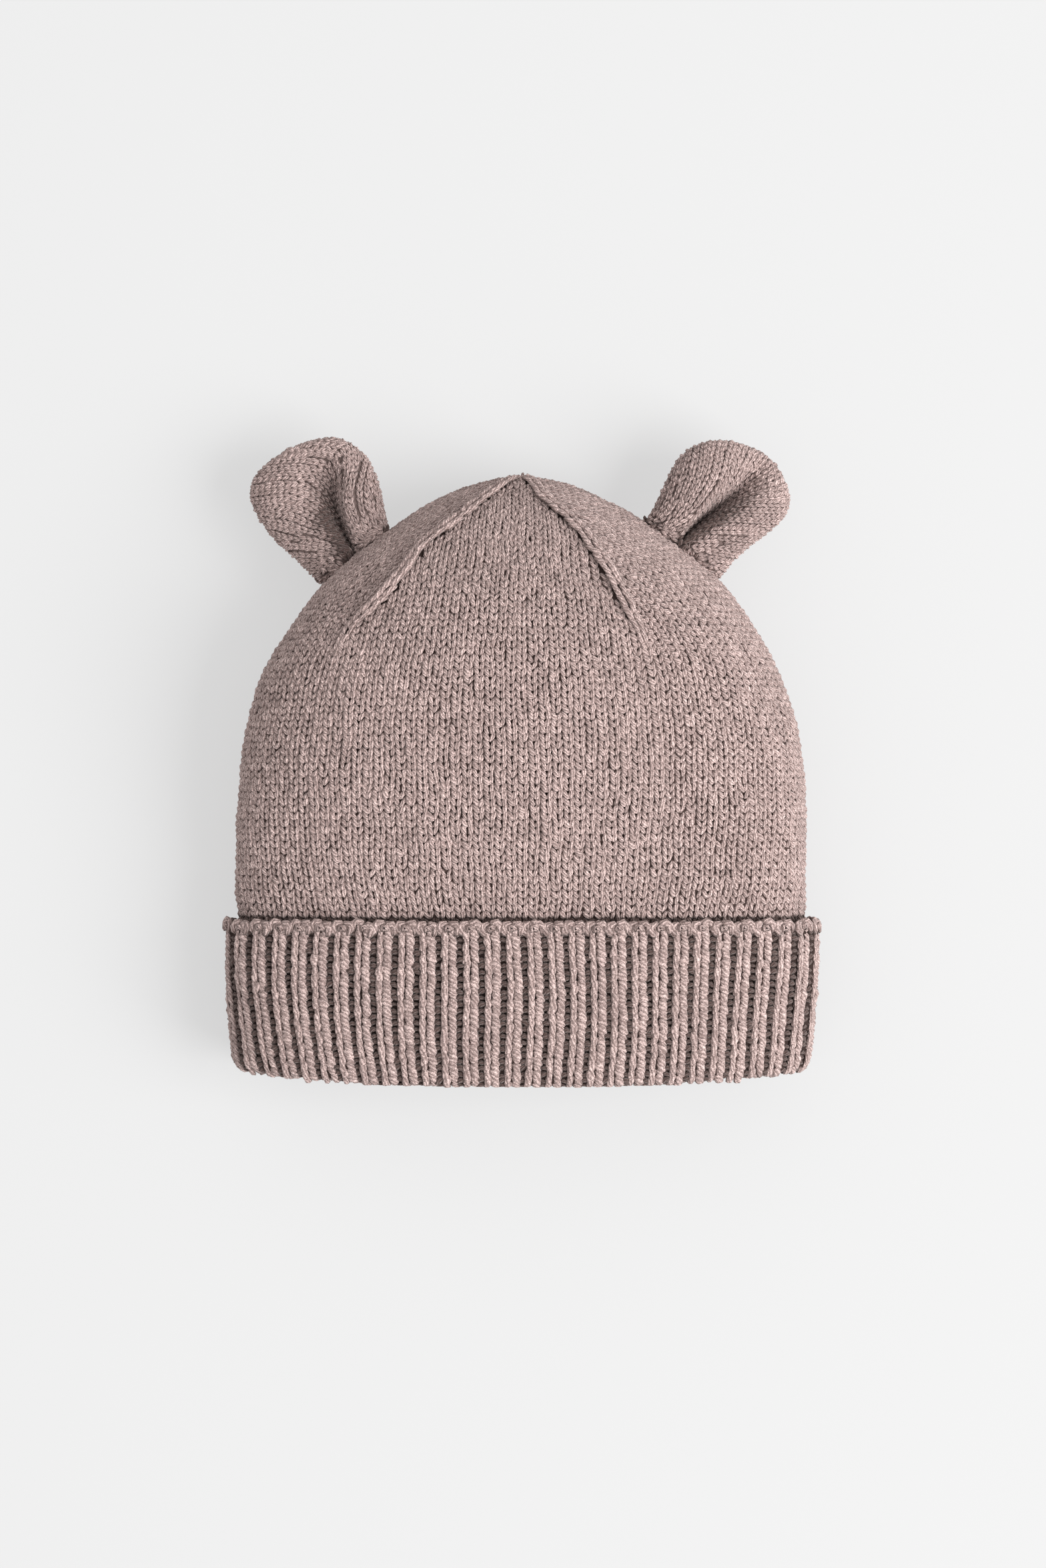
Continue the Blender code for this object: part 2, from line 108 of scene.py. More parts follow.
# %% [markdown]
# Under the stitches lies a ground cloth, which closes the small gaps between them. It could be
# modelled anew, but the CAD piece has the right form already, so the cloth is a copy of it: its
# loose triangles are welded, it is made a little thinner than the real knitting, and the
# stitches fill the rest of the thickness.


# %% A welded and rounded copy of a CAD piece
def round_off(thing, levels):
    """Rounds an object with a subdivision modifier, and applies it."""
    rounding = thing.modifiers.new("rounding", "SUBSURF")
    rounding.levels = rounding.render_levels = levels
    bpy.ops.object.modifier_apply(modifier="rounding")


def welded_copy(node, name, levels=1, smoothing=0, inward=0.0):
    """A copy of a CAD node without loose triangles, with its ridges smoothed out if asked."""
    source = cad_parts[node]
    cloth = bpy.data.objects.new(name, source.data.copy())
    bpy.context.collection.objects.link(cloth)
    only(cloth)
    bpy.ops.object.mode_set(mode="EDIT")
    bpy.ops.mesh.select_all(action="SELECT")
    bpy.ops.mesh.remove_doubles(threshold=1e-6)
    bpy.ops.mesh.tris_convert_to_quads()
    bpy.ops.mesh.normals_make_consistent(inside=False)
    if smoothing:
        bpy.ops.mesh.vertices_smooth(factor=0.5, repeat=smoothing, yaxis=False)
    if inward:
        bpy.ops.transform.shrink_fatten(value=-inward)
    bpy.ops.object.mode_set(mode="OBJECT")
    if levels:
        round_off(cloth, levels)
    bpy.ops.object.shade_smooth()
    return cloth


print("The crown comes as", len(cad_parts["crown"].data.vertices), "loose corners")

# %% The ground cloths
# how far each cloth's faces are drawn in
THINNED = {"crown": 0.0008, "cuff": 0.0006, "ear_left": 0.0004, "ear_right": 0.0004}
RIM_DEPTH = 0.0012  # how much of the crown's lower edge is drawn down
RIM_FADE = 0.0010  # the part of it over which the drawing sets in
RIM_REACH = 0.0026  # how far it is drawn down


def draw_into_cuff(cloth):
    """Draws the crown's lower edge down into the cuff, as they are knitted in one."""
    rim = min(corner.co.y for corner in cloth.data.vertices) + RIM_DEPTH
    for corner in cloth.data.vertices:
        corner.co.y -= RIM_REACH * min(max((rim - corner.co.y) / RIM_FADE, 0), 1)


GROUNDS = {
    node: welded_copy(node, node + "_fabric", inward=inward) for node, inward in THINNED.items()
}
draw_into_cuff(GROUNDS["crown"])
for cloth in GROUNDS.values():
    print(cloth.name, len(cloth.data.polygons), "faces")

# %% [markdown]
# A stitch of plain knitting shows as a V: two short thick legs of yarn. One long curve of yarn
# would be truer, but it needs far more faces and shows no more. So one strand is modelled once,
# from a UV sphere, and it is copied to thousands of places, each with its own small turn, size
# and tone. A few dozen faces a strand are enough at this size.


# %% One strand of yarn, modelled once
class Strand:
    """A rounded strand of length one: its rings, faces and UVs, read from a UV sphere.

    fullness: under 1, its ends are blunter than a ball's."""

    def __init__(self, around, rings, fullness=0.55):
        bpy.ops.object.select_all(action="DESELECT")
        bpy.ops.mesh.primitive_uv_sphere_add(segments=around, ring_count=rings, radius=1.0)
        ball = bpy.context.object
        mesh = ball.data
        spots = np.array([corner.co for corner in mesh.vertices])
        self.along = (spots[:, 2] + 1) / 2
        radius = np.hypot(spots[:, 0], spots[:, 1])
        round_it = spots[:, :2] / np.maximum(radius, 1e-9)[:, None]
        self.ring = round_it * (np.where(radius > 1e-6, radius, 0) ** fullness)[:, None]
        self.corners = np.array([loop.vertex_index for loop in mesh.loops])
        self.starts = np.array([face.loop_start for face in mesh.polygons])
        self.uv = np.array([entry.uv for entry in mesh.uv_layers[0].data])
        self.triangles = sum(len(face.vertices) - 2 for face in mesh.polygons)
        bpy.data.objects.remove(ball)


FINE = Strand(6, 5)
PLAIN = Strand(5, 4)
COARSE = Strand(4, 4)
print("Triangles a strand:", FINE.triangles, PLAIN.triangles, COARSE.triangles)

# %% [markdown]
# Where a stitch lies is kept apart from how its yarn bends. A spot is a stitch's foot on the
# cloth, with three directions of its own and its size. A leg is three points: its strand starts
# at the first, leans towards the second and ends at the third. So a leg is written once and
# serves at every spot. Small random turns, sizes and shifts keep the stitches from looking
# stamped.

# %% Where stitches lie, and the way a strand bends there
# place: the stitch's foot on the surface. side, up, out: its own axes. width, height: its size.
Spots = namedtuple("Spots", "place side up out width height")
# start, bend, end: the three points that bend a strand, each across in stitch widths, up in
# stitch heights and out in metres. across: its thickness in widths. deep: in metres.
Leg = namedtuple("Leg", "start bend end across deep")

KNIT = Leg((0.02, -0.28, -0.0003), (0.26, 0.32, 0.0011), (0.45, 1.28, -0.0008), 0.258, 0.00075)
CORD = Leg((0.10, -0.45, -0.0002), (0.26, 0.35, 0.0012), (0.27, 1.60, -0.0005), 0.225, 0.00085)
PURL = Leg((-0.50, 0.66, -0.0005), (0.00, 0.05, 0.0008), (0.50, 0.66, -0.0005), 0.255, 0.00070)

STRAY_TURN = 0.13  # in radians
STRAY_SIZE = 0.10  # as a share of the strand's thickness
STRAY_SHIFT = 0.00011
TURN_CENTRE = 0.6  # how high in its stitch a strand is turned about, in stitch heights


def bend_strands(spots, leg, sign, strand, lift=0.0, loose=1.0):
    """The vertices of one strand at every spot, and their heights over the surface."""
    count = len(spots.place)
    t = strand.along
    share = np.array([(1 - t) ** 2, 2 * t * (1 - t), t**2])
    slope = np.array([2 * t - 2, 2 - 4 * t, 2 * t])
    points = np.array([leg.start, leg.bend, leg.end])
    centre, lead = points.T @ share, points.T @ slope
    turn = RANDOM.normal(0, STRAY_TURN * loose, (count, 1))
    size = 1 + RANDOM.normal(0, STRAY_SIZE * loose, (count, 1))
    sink = RANDOM.normal(0, STRAY_SHIFT * loose, (count, 1))
    width, height = spots.width[:, None], spots.height[:, None]
    x = sign * centre[0] * width
    y = centre[1] * height
    lead_x, lead_y = sign * lead[0] * width, lead[1] * height
    lead_size = np.maximum(np.hypot(lead_x, lead_y), 1e-9)
    across = leg.across * width * size * strand.ring[:, 0]
    x, y = x + across * lead_y / lead_size, y - across * lead_x / lead_size
    stray = RANDOM.normal(0, STRAY_SHIFT * loose, (2, count, 1))
    x, y = x - turn * (y - TURN_CENTRE * height) + stray[0], y + turn * x + stray[1]
    z = centre[2] - leg.deep * size * strand.ring[:, 1] + sink + lift
    place = spots.place[:, None, :] + spots.side[:, None, :] * x[:, :, None]
    place = place + spots.up[:, None, :] * y[:, :, None] + spots.out[:, None, :] * z[:, :, None]
    return place, z - np.median(z.max(axis=1))


print(f"A leg of plain knitting is {KNIT.end[1] - KNIT.start[1]:.2f} stitch heights long")

# %% [markdown]
# Thousands of separate objects would be slow, so all the strands of one piece go into one mesh.
# Two numbers are kept at each vertex for the material: how deep it lies, from which shade is
# painted on the wool down between the stitches, and the tone of its strand.

# %% One mesh from many strands
FLOOR_ROOM = 0.00015  # no yarn comes nearer to the floor
LEG_TONE = 0.4  # how much a leg's tone strays from its stitch's


def knit_piece(name, parts):
    """A mesh of strands. parts: (strand, vertices, heights, tones) for each kind of strand."""
    places, painted_shade_depth, tones, corners, starts, uvs = [], [], [], [], [], []
    first, first_corner = 0, 0
    for strand, place, height, tone in parts:
        count, points = place.shape[:2]
        steps = first + np.arange(count) * points
        corners.append((steps[:, None] + strand.corners).ravel())
        corner_steps = first_corner + np.arange(count) * len(strand.corners)
        starts.append((corner_steps[:, None] + strand.starts).ravel())
        uvs.append(np.tile(strand.uv, (count, 1)))
        places.append(place.reshape(-1, 3))
        painted_shade_depth.append(height.ravel())
        tones.append(np.repeat(tone, points))
        first += count * points
        first_corner += count * len(strand.corners)
    places = np.concatenate(places)
    places[:, 2] = np.maximum(places[:, 2], FLOOR_ROOM)
    corners, starts = np.concatenate(corners), np.concatenate(starts)
    mesh = bpy.data.meshes.new(name)
    mesh.vertices.add(len(places))
    mesh.vertices.foreach_set("co", places.ravel())
    mesh.loops.add(len(corners))
    mesh.loops.foreach_set("vertex_index", corners)
    mesh.polygons.add(len(starts))
    mesh.polygons.foreach_set("loop_start", starts)
    mesh.polygons.foreach_set("use_smooth", np.ones(len(starts), bool))
    mesh.uv_layers.new(name="yarn").data.foreach_set("uv", np.concatenate(uvs).ravel())
    # how deep each vertex lies, which the wool turns into painted shade, and its strand's tone
    for label, values in (("painted_shade_depth", painted_shade_depth), ("tone", tones)):
        entry = mesh.attributes.new(label, "FLOAT", "POINT")
        entry.data.foreach_set("value", np.concatenate(values))
    mesh.update(calc_edges=True)
    mesh.validate()
    piece = bpy.data.objects.new(name, mesh)
    bpy.context.collection.objects.link(piece)
    count = sum(len(face.vertices) - 2 for face in mesh.polygons)
    print(f"{name}: {sum(len(part[1]) for part in parts)} strands, {count} triangles")
    return piece


def shade(parts, shadow, depth):
    """The same parts, with painted shade where a function of their vertices is near 1."""
    return [
        (strand, place, height - depth * shadow(place), tone)
        for strand, place, height, tone in parts
    ]


def knit_legs(spots, legs, strand, lift=0.0, loose=1.0):
    """The left and right leg of every V, as parts for knit_piece. They share its tone."""
    tone = RANDOM.normal(0, 1, len(spots.place))
    parts = []
    for sign, leg in zip((-1, 1), legs):
        place, height = bend_strands(spots, leg, sign, strand, lift, loose)
        parts.append((strand, place, height, tone + RANDOM.normal(0, LEG_TONE, len(tone))))
    return parts


print("A stitch of two plain strands has", 2 * PLAIN.triangles, "triangles")

# %% [markdown]
# The stitches follow the CAD's own surface, so the crown's outer skin is taken from its CAD
# piece: the rim's faces go, the inner skin comes loose and goes too, and the rest is rounded.

# %% The crown's outer skin
START_Y = 0.0327  # where the raised decrease lines start
TIP = np.array([0.0, 0.0907, 0.0231])
MIDDLE_Z = 0.0240  # height of the hat's middle line
RIM_FACES = 0.0007  # the rim's faces lie no farther than this from the lowest edge


def outer_skin(node):
    """The outer face of a CAD piece with a knitted wall, open at its lower edge."""
    skin = welded_copy(node, node + "_skin", levels=0)
    low = min(corner.co.y for corner in skin.data.vertices)
    only(skin)
    bpy.ops.object.mode_set(mode="EDIT")
    bpy.ops.mesh.select_mode(type="FACE")
    bpy.ops.mesh.select_all(action="DESELECT")
    bpy.ops.object.mode_set(mode="OBJECT")
    for face in skin.data.polygons:
        face.select = all(skin.data.vertices[i].co.y < low + RIM_FACES for i in face.vertices)
    bpy.ops.object.mode_set(mode="EDIT")
    bpy.ops.mesh.delete(type="FACE")
    bpy.ops.mesh.separate(type="LOOSE")
    bpy.ops.object.mode_set(mode="OBJECT")
    skins = sorted(bpy.context.selected_objects, key=lambda part: part.dimensions.x)
    outer = skins.pop()
    for other in skins:
        bpy.data.objects.remove(other)
    print(f"{node}: outer skin {outer.dimensions.x * 1000:.1f} mm wide, {len(skins)} cut away")
    only(outer)
    round_off(outer, 2)
    return outer


def search_tree(thing):
    """A tree that finds the nearest point of a mesh, or where a line first meets it."""
    corners = [corner.co.copy() for corner in thing.data.vertices]
    return BVHTree.FromPolygons(corners, [tuple(face.vertices) for face in thing.data.polygons])


crown_skin = outer_skin("crown")
CROWN = search_tree(crown_skin)
bpy.data.objects.remove(crown_skin)

# %% [markdown]
# Stitches are laid out with lines of points on the surface: a ring at one height, a short way
# between two points, and lengths measured along either. Each is found by asking the tree for
# the nearest point, or for the first point that a line from outside meets.

# %% Lines and rings over a surface
FAR = 0.3  # farther out than any piece reaches
WAY_PARTS = 22


def nearest(tree, points):
    """The nearest surface points to some points, and the outward directions there."""
    hits = [tree.find_nearest(Vector(point)) for point in points]
    return np.array([hit[0] for hit in hits]), np.array([hit[1] for hit in hits])


def seen_from(tree, middle, directions):
    """Where lines from outside towards a middle point first meet the surface."""
    hits = []
    for direction in directions:
        away = Vector(direction).normalized()
        hit = tree.ray_cast(Vector(middle) + away * FAR, -away)[0]
        hits.append(hit if hit is not None else Vector(middle))
    return np.array(hits)


def lengths(points):
    """The length along a line of points up to each of them."""
    steps = np.linalg.norm(np.diff(points, axis=0), axis=1)
    return np.concatenate([[0], np.cumsum(steps)])


def read_line(points, at):
    """Points at given lengths along a line of points."""
    total = lengths(points)
    return np.column_stack([np.interp(at, total, points[:, k]) for k in range(3)])


def lead_at(points, at, reach):
    """The direction of a line of points at given lengths along it."""
    total = lengths(points)[-1]
    ahead = read_line(points, np.minimum(at + reach, total))
    return ahead - read_line(points, np.maximum(at - reach, 0))


def ring_at(tree, y, count=1440):
    """Points all round a surface at one height, clockwise from the top, back to the first."""
    turn = np.linspace(0, 2 * math.pi, count + 1)
    directions = np.column_stack([np.sin(turn), np.zeros(count + 1), np.cos(turn)])
    return seen_from(tree, (0, y, MIDDLE_Z), directions)


def shortest(tree, a, b, rounds=7):
    """A short way over the surface between two points of it."""
    t = np.linspace(0, 1, WAY_PARTS + 1)[:, None]
    points = a * (1 - t) + b * t
    for _ in range(rounds):
        points[1:-1] = nearest(tree, points[1:-1])[0]
        points[1:-1] = (points[:-2] + points[2:]) / 2
    points[1:-1] = nearest(tree, points[1:-1])[0]
    return points


START_RING = ring_at(CROWN, START_Y)
START_LENGTH = lengths(START_RING)[-1]
print(f"The crown is {START_LENGTH * 1000:.0f} mm round where its decreases start")

# %% [markdown]
# Four lines of decreases divide the crown into four gores. Each gore has its own middle
# line, and its wales run beside that line and stop at the decreases, as in real knitting.
# Under the decreases the wales run straight down, all at the same distance.

# %% The decrease lines and the gores' middle lines
# y: a height. left, right: how far the front's two lines are from the middle. ridge: how far
# the cord on them stands up, as a share of its most.
Decrease = namedtuple("Decrease", "y left right ridge")
DECREASES = (
    Decrease(0.0327, 0.0593, 0.0392, 0.15),
    Decrease(0.0403, 0.0547, 0.0363, 0.60),
    Decrease(0.0508, 0.0436, 0.0312, 1.00),
    Decrease(0.0593, 0.0368, 0.0269, 1.00),
    Decrease(0.0665, 0.0319, 0.0223, 1.00),
    Decrease(0.0722, 0.0250, 0.0182, 1.00),
    Decrease(0.0763, 0.0197, 0.0140, 0.95),
    Decrease(0.0826, 0.0122, 0.0070, 0.80),
    Decrease(0.0877, 0.0057, 0.0036, 0.60),
)
EDGE_POINTS = 60
EDGE_SMOOTHING = 6
MIDDLE_POINTS = 160


def decrease_line(side, front):
    """A line of decreases over the crown, from its start to the tip."""
    y = np.linspace(DECREASES[0].y, DECREASES[-1].y, EDGE_POINTS)
    knots = [row.y for row in DECREASES]
    left = np.interp(y, knots, [row.left for row in DECREASES])
    right = np.interp(y, knots, [row.right for row in DECREASES])
    across = (right if side > 0 else left) if front else (left + right) / 2
    facing = 1 if front else -1
    down = Vector((0, 0, -facing))
    places = []
    for x, height in zip(side * across, y):
        places.append(CROWN.ray_cast(Vector((x, height, facing * FAR)), down)[0])
    line = np.vstack([np.array(places), TIP])
    for _ in range(EDGE_SMOOTHING):
        line[1:-1] = (line[:-2] + 2 * line[1:-1] + line[2:]) / 4
    line[1:-1] = nearest(CROWN, line[1:-1])[0]
    return line


def middle_line(direction):
    """A gore's middle line over the crown, from the decreases' start to the tip."""
    turn = np.linspace(0, math.pi / 2, MIDDLE_POINTS)
    start = Vector(direction)
    directions = [start * math.cos(a) + Vector((0, 1, 0)) * math.sin(a) for a in turn]
    return np.vstack([seen_from(CROWN, (0, START_Y, MIDDLE_Z), directions)[:-1], TIP])


# Clockwise from the top, seen from the mouth's side. EDGES[i] follows the gore of MIDDLES[i].
GORES = ("front", "right", "back", "left")
MIDDLES = [middle_line(way) for way in ((0, 0, 1), (1, 0, 0), (0, 0, -1), (-1, 0, 0))]
EDGES = [decrease_line(*way) for way in ((1, True), (1, False), (-1, False), (-1, True))]
for line, label in zip(MIDDLES + EDGES, (*GORES, 1, 2, 3, 4)):
    print(f"Line {label}: {lengths(line)[-1] * 1000:.0f} mm")

# %% The crown's rows and the two halves of a gore
WALE = 0.00326
ROW = 0.0022
CROWN_LOW = -0.0562
BODY_ROWS = np.linspace(CROWN_LOW, START_Y, round((START_Y - CROWN_LOW) / ROW), endpoint=False)
RINGS = [ring_at(CROWN, y) for y in BODY_ROWS]
GORE_ROWS = [round(lengths(line)[-1] / ROW) for line in MIDDLES]

# middle, edge: the shares of the start ring where a half gore begins and ends. line: the
# decreases at its edge. pitch: its wales' distance. wales: how many it has. held: how many of
# them, with the one on the edge, which belongs to the front or the back.
Half = namedtuple("Half", "sign middle edge line pitch wales held")


def share_near(ring, point):
    """The share of a ring's length at its nearest point to a place."""
    i = int(np.argmin(np.linalg.norm(ring[:-1] - point, axis=1)))
    total = lengths(ring)
    return total[i] / total[-1]


EDGE_SHARES = [share_near(START_RING, line[0]) for line in EDGES]
MIDDLE_SHARES = [0.0] + [share_near(START_RING, line[0]) for line in MIDDLES[1:]]


def gore_halves(gore):
    """A gore's halves on either side of its middle line."""
    middle = MIDDLE_SHARES[gore]
    before = EDGE_SHARES[gore - 1] - (1 if gore == 0 else 0)
    halves = []
    for sign, edge, line in (
        (-1, before, EDGES[gore - 1]),
        (1, EDGE_SHARES[gore], EDGES[gore]),
    ):
        arc = abs(edge - middle) * START_LENGTH
        wales = max(1, round(arc / WALE))
        held = wales + (1 if GORES[gore] in ("front", "back") else 0)
        halves.append(Half(sign, middle, edge, line, arc / wales, wales, held))
    return halves


print(len(RINGS), "rows of rings, and up to the tip", GORE_ROWS, "rows in the gores")

# %% [markdown]
# In the body each row is a ring. At the tip a row is the short way from a gore's middle line
# to its edge. Between them the rows change slowly from one to the other, because a sudden
# change would show as a crease all round. Fewer and fewer wales fit into a row towards the
# tip, and the last one stops at the decreases.

# %% The grid of stitches on one gore
EDGE_MARGIN = 0.0018  # how much of a row the cord on the decreases takes
TIP_NARROW = 0.36  # how much narrower the wales are at the tip
BOW_SHARE = 0.40  # share of a gore over which its rows change from rings to short ways


def body_rows(half):
    """A half gore's stitch places by (row, wale) in the rings under the decreases."""
    places = {}
    for row, ring in enumerate(RINGS):
        shares = half.middle + (half.edge - half.middle) * np.arange(half.held) / half.wales
        points = read_line(ring, np.mod(shares, 1.0) * lengths(ring)[-1])
        for wale, point in enumerate(points):
            places[row, half.sign * wale] = point
    return places


def dome_rows(half, spine, rows):
    """The same in the rows from the decreases' start to the tip. spine: the middle line."""
    t = np.linspace(0, 1, WAY_PARTS + 1)
    shares = np.mod(half.middle + (half.edge - half.middle) * t, 1.0)
    ring = read_line(START_RING, shares * START_LENGTH)
    direct = shortest(CROWN, ring[0], ring[-1])
    bow = ring - read_line(direct, t * lengths(direct)[-1])
    places = {}
    for step in range(rows):
        share = step / rows
        start = read_line(spine, [share * lengths(spine)[-1]])[0]
        end = read_line(half.line, [share * lengths(half.line)[-1]])[0]
        way = shortest(CROWN, start, end)
        way = read_line(way, t * lengths(way)[-1])
        fade = max(0.0, 1 - share / BOW_SHARE) ** 2 * (1 + 2 * share / BOW_SHARE)
        way = nearest(CROWN, way + bow * fade)[0]
        room = lengths(way)[-1] - EDGE_MARGIN * min(1, 4 * share)
        pitch = half.pitch * (1 - TIP_NARROW * share**1.1)
        fits = min(int(max(0, room // pitch)), half.wales) + 1
        if step == 0:
            fits = half.held
        for wale, point in enumerate(read_line(way, np.arange(fits) * pitch)):
            places[len(RINGS) + step, half.sign * wale] = point
    return places


def gore_grid(gore):
    """A gore's stitch places by (row, wale), with wale 0 on its middle line."""
    grid = {}
    for half in gore_halves(gore):
        grid.update(body_rows(half))
        grid.update(dome_rows(half, MIDDLES[gore], GORE_ROWS[gore]))
    return grid


GRIDS = [gore_grid(gore) for gore in range(len(GORES))]
print("Places in the gores:", [len(grid) for grid in GRIDS])

# %% [markdown]
# A stitch's own directions could come from its row's line, but its neighbours give them more
# simply: it points up to the one above it, and it is as wide as the step from one side to the
# other. So it grows, shrinks and leans with the rows and wales around it.


# %% From places to spots
def grid_spots(tree, grid, tiny=1e-5):
    """Spots at a grid's places. Each stitch's axes and size come from its neighbours."""
    keys = sorted(grid)
    places, outs = nearest(tree, [grid[key] for key in keys])
    where = {key: i for i, key in enumerate(keys)}
    up, side = np.zeros_like(places), np.zeros_like(places)
    for key, i in where.items():
        row, wale = key
        above, below = where.get((row + 1, wale)), where.get((row - 1, wale))
        right, left = where.get((row, wale + 1)), where.get((row, wale - 1))
        if above is not None:
            up[i] = places[above] - places[i]
        elif below is not None:
            up[i] = places[i] - places[below]
        if right is not None and left is not None:
            side[i] = (places[right] - places[left]) / 2
        elif right is not None:
            side[i] = places[right] - places[i]
        elif left is not None:
            side[i] = places[i] - places[left]
    height = np.linalg.norm(up, axis=1)
    width = np.linalg.norm(side, axis=1)
    keep = height > tiny
    width = np.where(width > tiny, width, np.median(width[width > tiny]))
    places, outs, up = places[keep], outs[keep], up[keep]
    height, width = height[keep], width[keep]
    up = lay_on(up, outs)
    kept = [key for key, kept_here in zip(keys, keep) if kept_here]
    return Spots(places, np.cross(up, outs), up, outs, width, height), kept


CROWN_SPOTS = [grid_spots(CROWN, grid)[0] for grid in GRIDS]
print(f"A stitch in front is {np.median(CROWN_SPOTS[0].width) * 1000:.1f} mm wide")

# %% [markdown]
# Knitting that has been worn is never even: its wales wander a little, and a few soft folds
# run up the front. They could be modelled in the cloth, but here they only move the stitches,
# by less than a millimetre, which leaves the cloth and the CAD alone. Near the tip the
# stitches are drawn out long. Under the cuff's edge the yarn is darkened, because so close a
# shadow gets lost in the soft light.

# %% Soft folds, wandering wales and the cuff's shadow
# x and low to high y say where a fold runs. height, half: how high and half as wide it is.
SoftFold = namedtuple("SoftFold", "x low high height half")
SOFT_FOLDS = (
    SoftFold(-0.0080, -0.030, 0.013, 0.00075, 0.0036),
    SoftFold(0.0068, -0.036, -0.006, 0.00065, 0.0034),
    SoftFold(-0.0536, -0.010, 0.038, 0.00080, 0.0042),
    SoftFold(0.0587, -0.032, -0.006, 0.00060, 0.0036),
    SoftFold(-0.0290, -0.044, -0.018, 0.00050, 0.0036),
    SoftFold(0.0330, -0.040, -0.004, 0.00050, 0.0040),
)
WAVES = RANDOM.uniform(-300, 300, (8, 3))
PHASES = RANDOM.uniform(0, 2 * math.pi, (2, 8))
RISE_WANDER = 0.00013
SIDE_WANDER = 0.00024
STRETCH_Y = (0.045, 0.078)  # where the stitches start to be drawn out, and where fully
STRETCH = 0.4
CAD_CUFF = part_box("cuff")
SHADOW_REACH = 0.0016  # how far the cuff's shadow reaches over its edge
SHADOW_FADE = 0.0014
SHADOW_DEPTH = 0.0013  # how much deeper than it lies the yarn in it is coloured


def wander(places, size, phases):
    """A smooth random shift for each place."""
    return size * np.sin(places @ WAVES.T + phases).sum(axis=1) / 2


def soften(spots):
    """Lets the wales wander, adds the soft folds, and draws the stitches out near the tip."""
    place = spots.place
    rise = wander(place, RISE_WANDER, PHASES[0])
    for x, low, high, height, half in SOFT_FOLDS:
        part = np.clip((place[:, 1] - low) / (high - low), 0, 1)
        swell = np.sin(math.pi * part) ** 0.7 * np.exp(-(((place[:, 0] - x) / half) ** 2))
        rise += height * swell * (spots.out[:, 2] > 0.2)
    aside = wander(place, SIDE_WANDER, PHASES[1])
    place = place + spots.out * rise[:, None] + spots.side * aside[:, None]
    stretch = np.interp(place[:, 1], STRETCH_Y, (0.0, STRETCH))
    stretch = stretch * np.clip(spots.out[:, 2] * 1.6, 0.25, 1)
    return spots._replace(place=place, height=spots.height * (1 + stretch))


def under_cuff(place):
    """1 where the cuff's edge shades the crown, and 0 over it."""
    return np.clip((CAD_CUFF[1].y + SHADOW_REACH - place[..., 1]) / SHADOW_FADE, 0, 1)


highest = max(fold.height for fold in SOFT_FOLDS)
print(f"{len(SOFT_FOLDS)} soft folds, the highest {highest * 1000:.1f} mm")

# %% The crown's stitches
GORE_STRANDS = (FINE, PLAIN, COARSE, PLAIN)
crown_stitches = []
for gore, spots in enumerate(CROWN_SPOTS):
    legs = knit_legs(soften(spots), (KNIT, KNIT), GORE_STRANDS[gore], lift=-0.00072)
    legs = shade(legs, under_cuff, SHADOW_DEPTH)
    crown_stitches.append(knit_piece(f"crown_stitches_{GORES[gore]}", legs))

# %% [markdown]
# Along each line of decreases two stitches are worked into one, again and again, which makes
# a raised cord. It is a single wale of longer stitches that stands on the crown. It rises out
# of the knitting at its lower end and sinks back at the tip, where all four meet, so that they
# don't pile up to a point. The yarn's end shows there as one short strand.

# %% The raised cords
CORD_WIDTH = 0.0044
CORD_ROW = 0.00205
CORD_LIFT = 0.0010
CORD_SINK = 0.0011
CORD_LEAD = 0.0006


def cord_spots(line):
    """Spots along a line of decreases, a row apart."""
    total = lengths(line)[-1]
    at = np.arange(0.0, total - CORD_LEAD, CORD_ROW)
    places, outs = nearest(CROWN, read_line(line, at))
    up = lay_on(lead_at(line, at, CORD_LEAD), outs)
    rise = np.interp(places[:, 1], [row.y for row in DECREASES], [row.ridge for row in DECREASES])
    sink = CORD_SINK * np.interp(at / total, [0, 0.22, 0.88, 1], [1, 0, 0, 1.2]) ** 1.5
    places = places + outs * (rise * CORD_LIFT - sink)[:, None]
    width = CORD_WIDTH * np.interp(at / total, [0, 0.18, 0.8, 1], [0.7, 1, 1, 0.75])
    return Spots(places, np.cross(up, outs), up, outs, width, np.full(len(at), CORD_ROW))


def one_spot(place, side, up, out, width, height):
    """A single spot."""
    return Spots(*[np.array([value]) for value in (place, side, up, out, width, height)])


YARN_END = Leg((0.05, -1.0, 0.0004), (-0.06, 0.1, 0.0012), (0.05, 0.8, 0.0006), 0.21, 0.00065)
cord_parts = []
for line in EDGES:
    cord_parts += knit_legs(cord_spots(line), (CORD, CORD), FINE, lift=-0.0004)
yarn_end = one_spot(TIP - (0, 0.0009, 0), (1, 0, 0), (0, 1, 0), (0, 0, 1), 0.003, ROW)
place, height = bend_strands(yarn_end, YARN_END, 1, FINE)
cord_parts.append((FINE, place, height, np.array([1.0])))
decrease_cords = knit_piece("decrease_cords", cord_parts)

# %% [markdown]
# The cuff is turned up, so its stitches point down: each V opens towards the fold. Columns of
# V's are the ribs, and between them lie dark recesses with small cross bumps of yarn. They
# run down the outside, round the fold and up again on the inside. The CAD's cuff has a ridge
# for each rib, which the stitches make themselves, so they are laid on a copy of it with its
# ridges smoothed out.

# %% The cuff's smooth face
FOLD_Y = -0.10273  # the fold's lowest line
CUFF_LENGTH = 0.0520
CUFF_SMOOTHING = 7
SWAY = 0.0009
RIB_INSET = 0.0035  # from the cuff's face in to the line along which ribs are evenly spaced

cuff_face = welded_copy("cuff", "cuff_face", smoothing=CUFF_SMOOTHING)
CUFF = search_tree(cuff_face)
print("The smooth cuff is", [round(size * 1000, 1) for size in cuff_face.dimensions], "mm")
bpy.data.objects.remove(cuff_face)


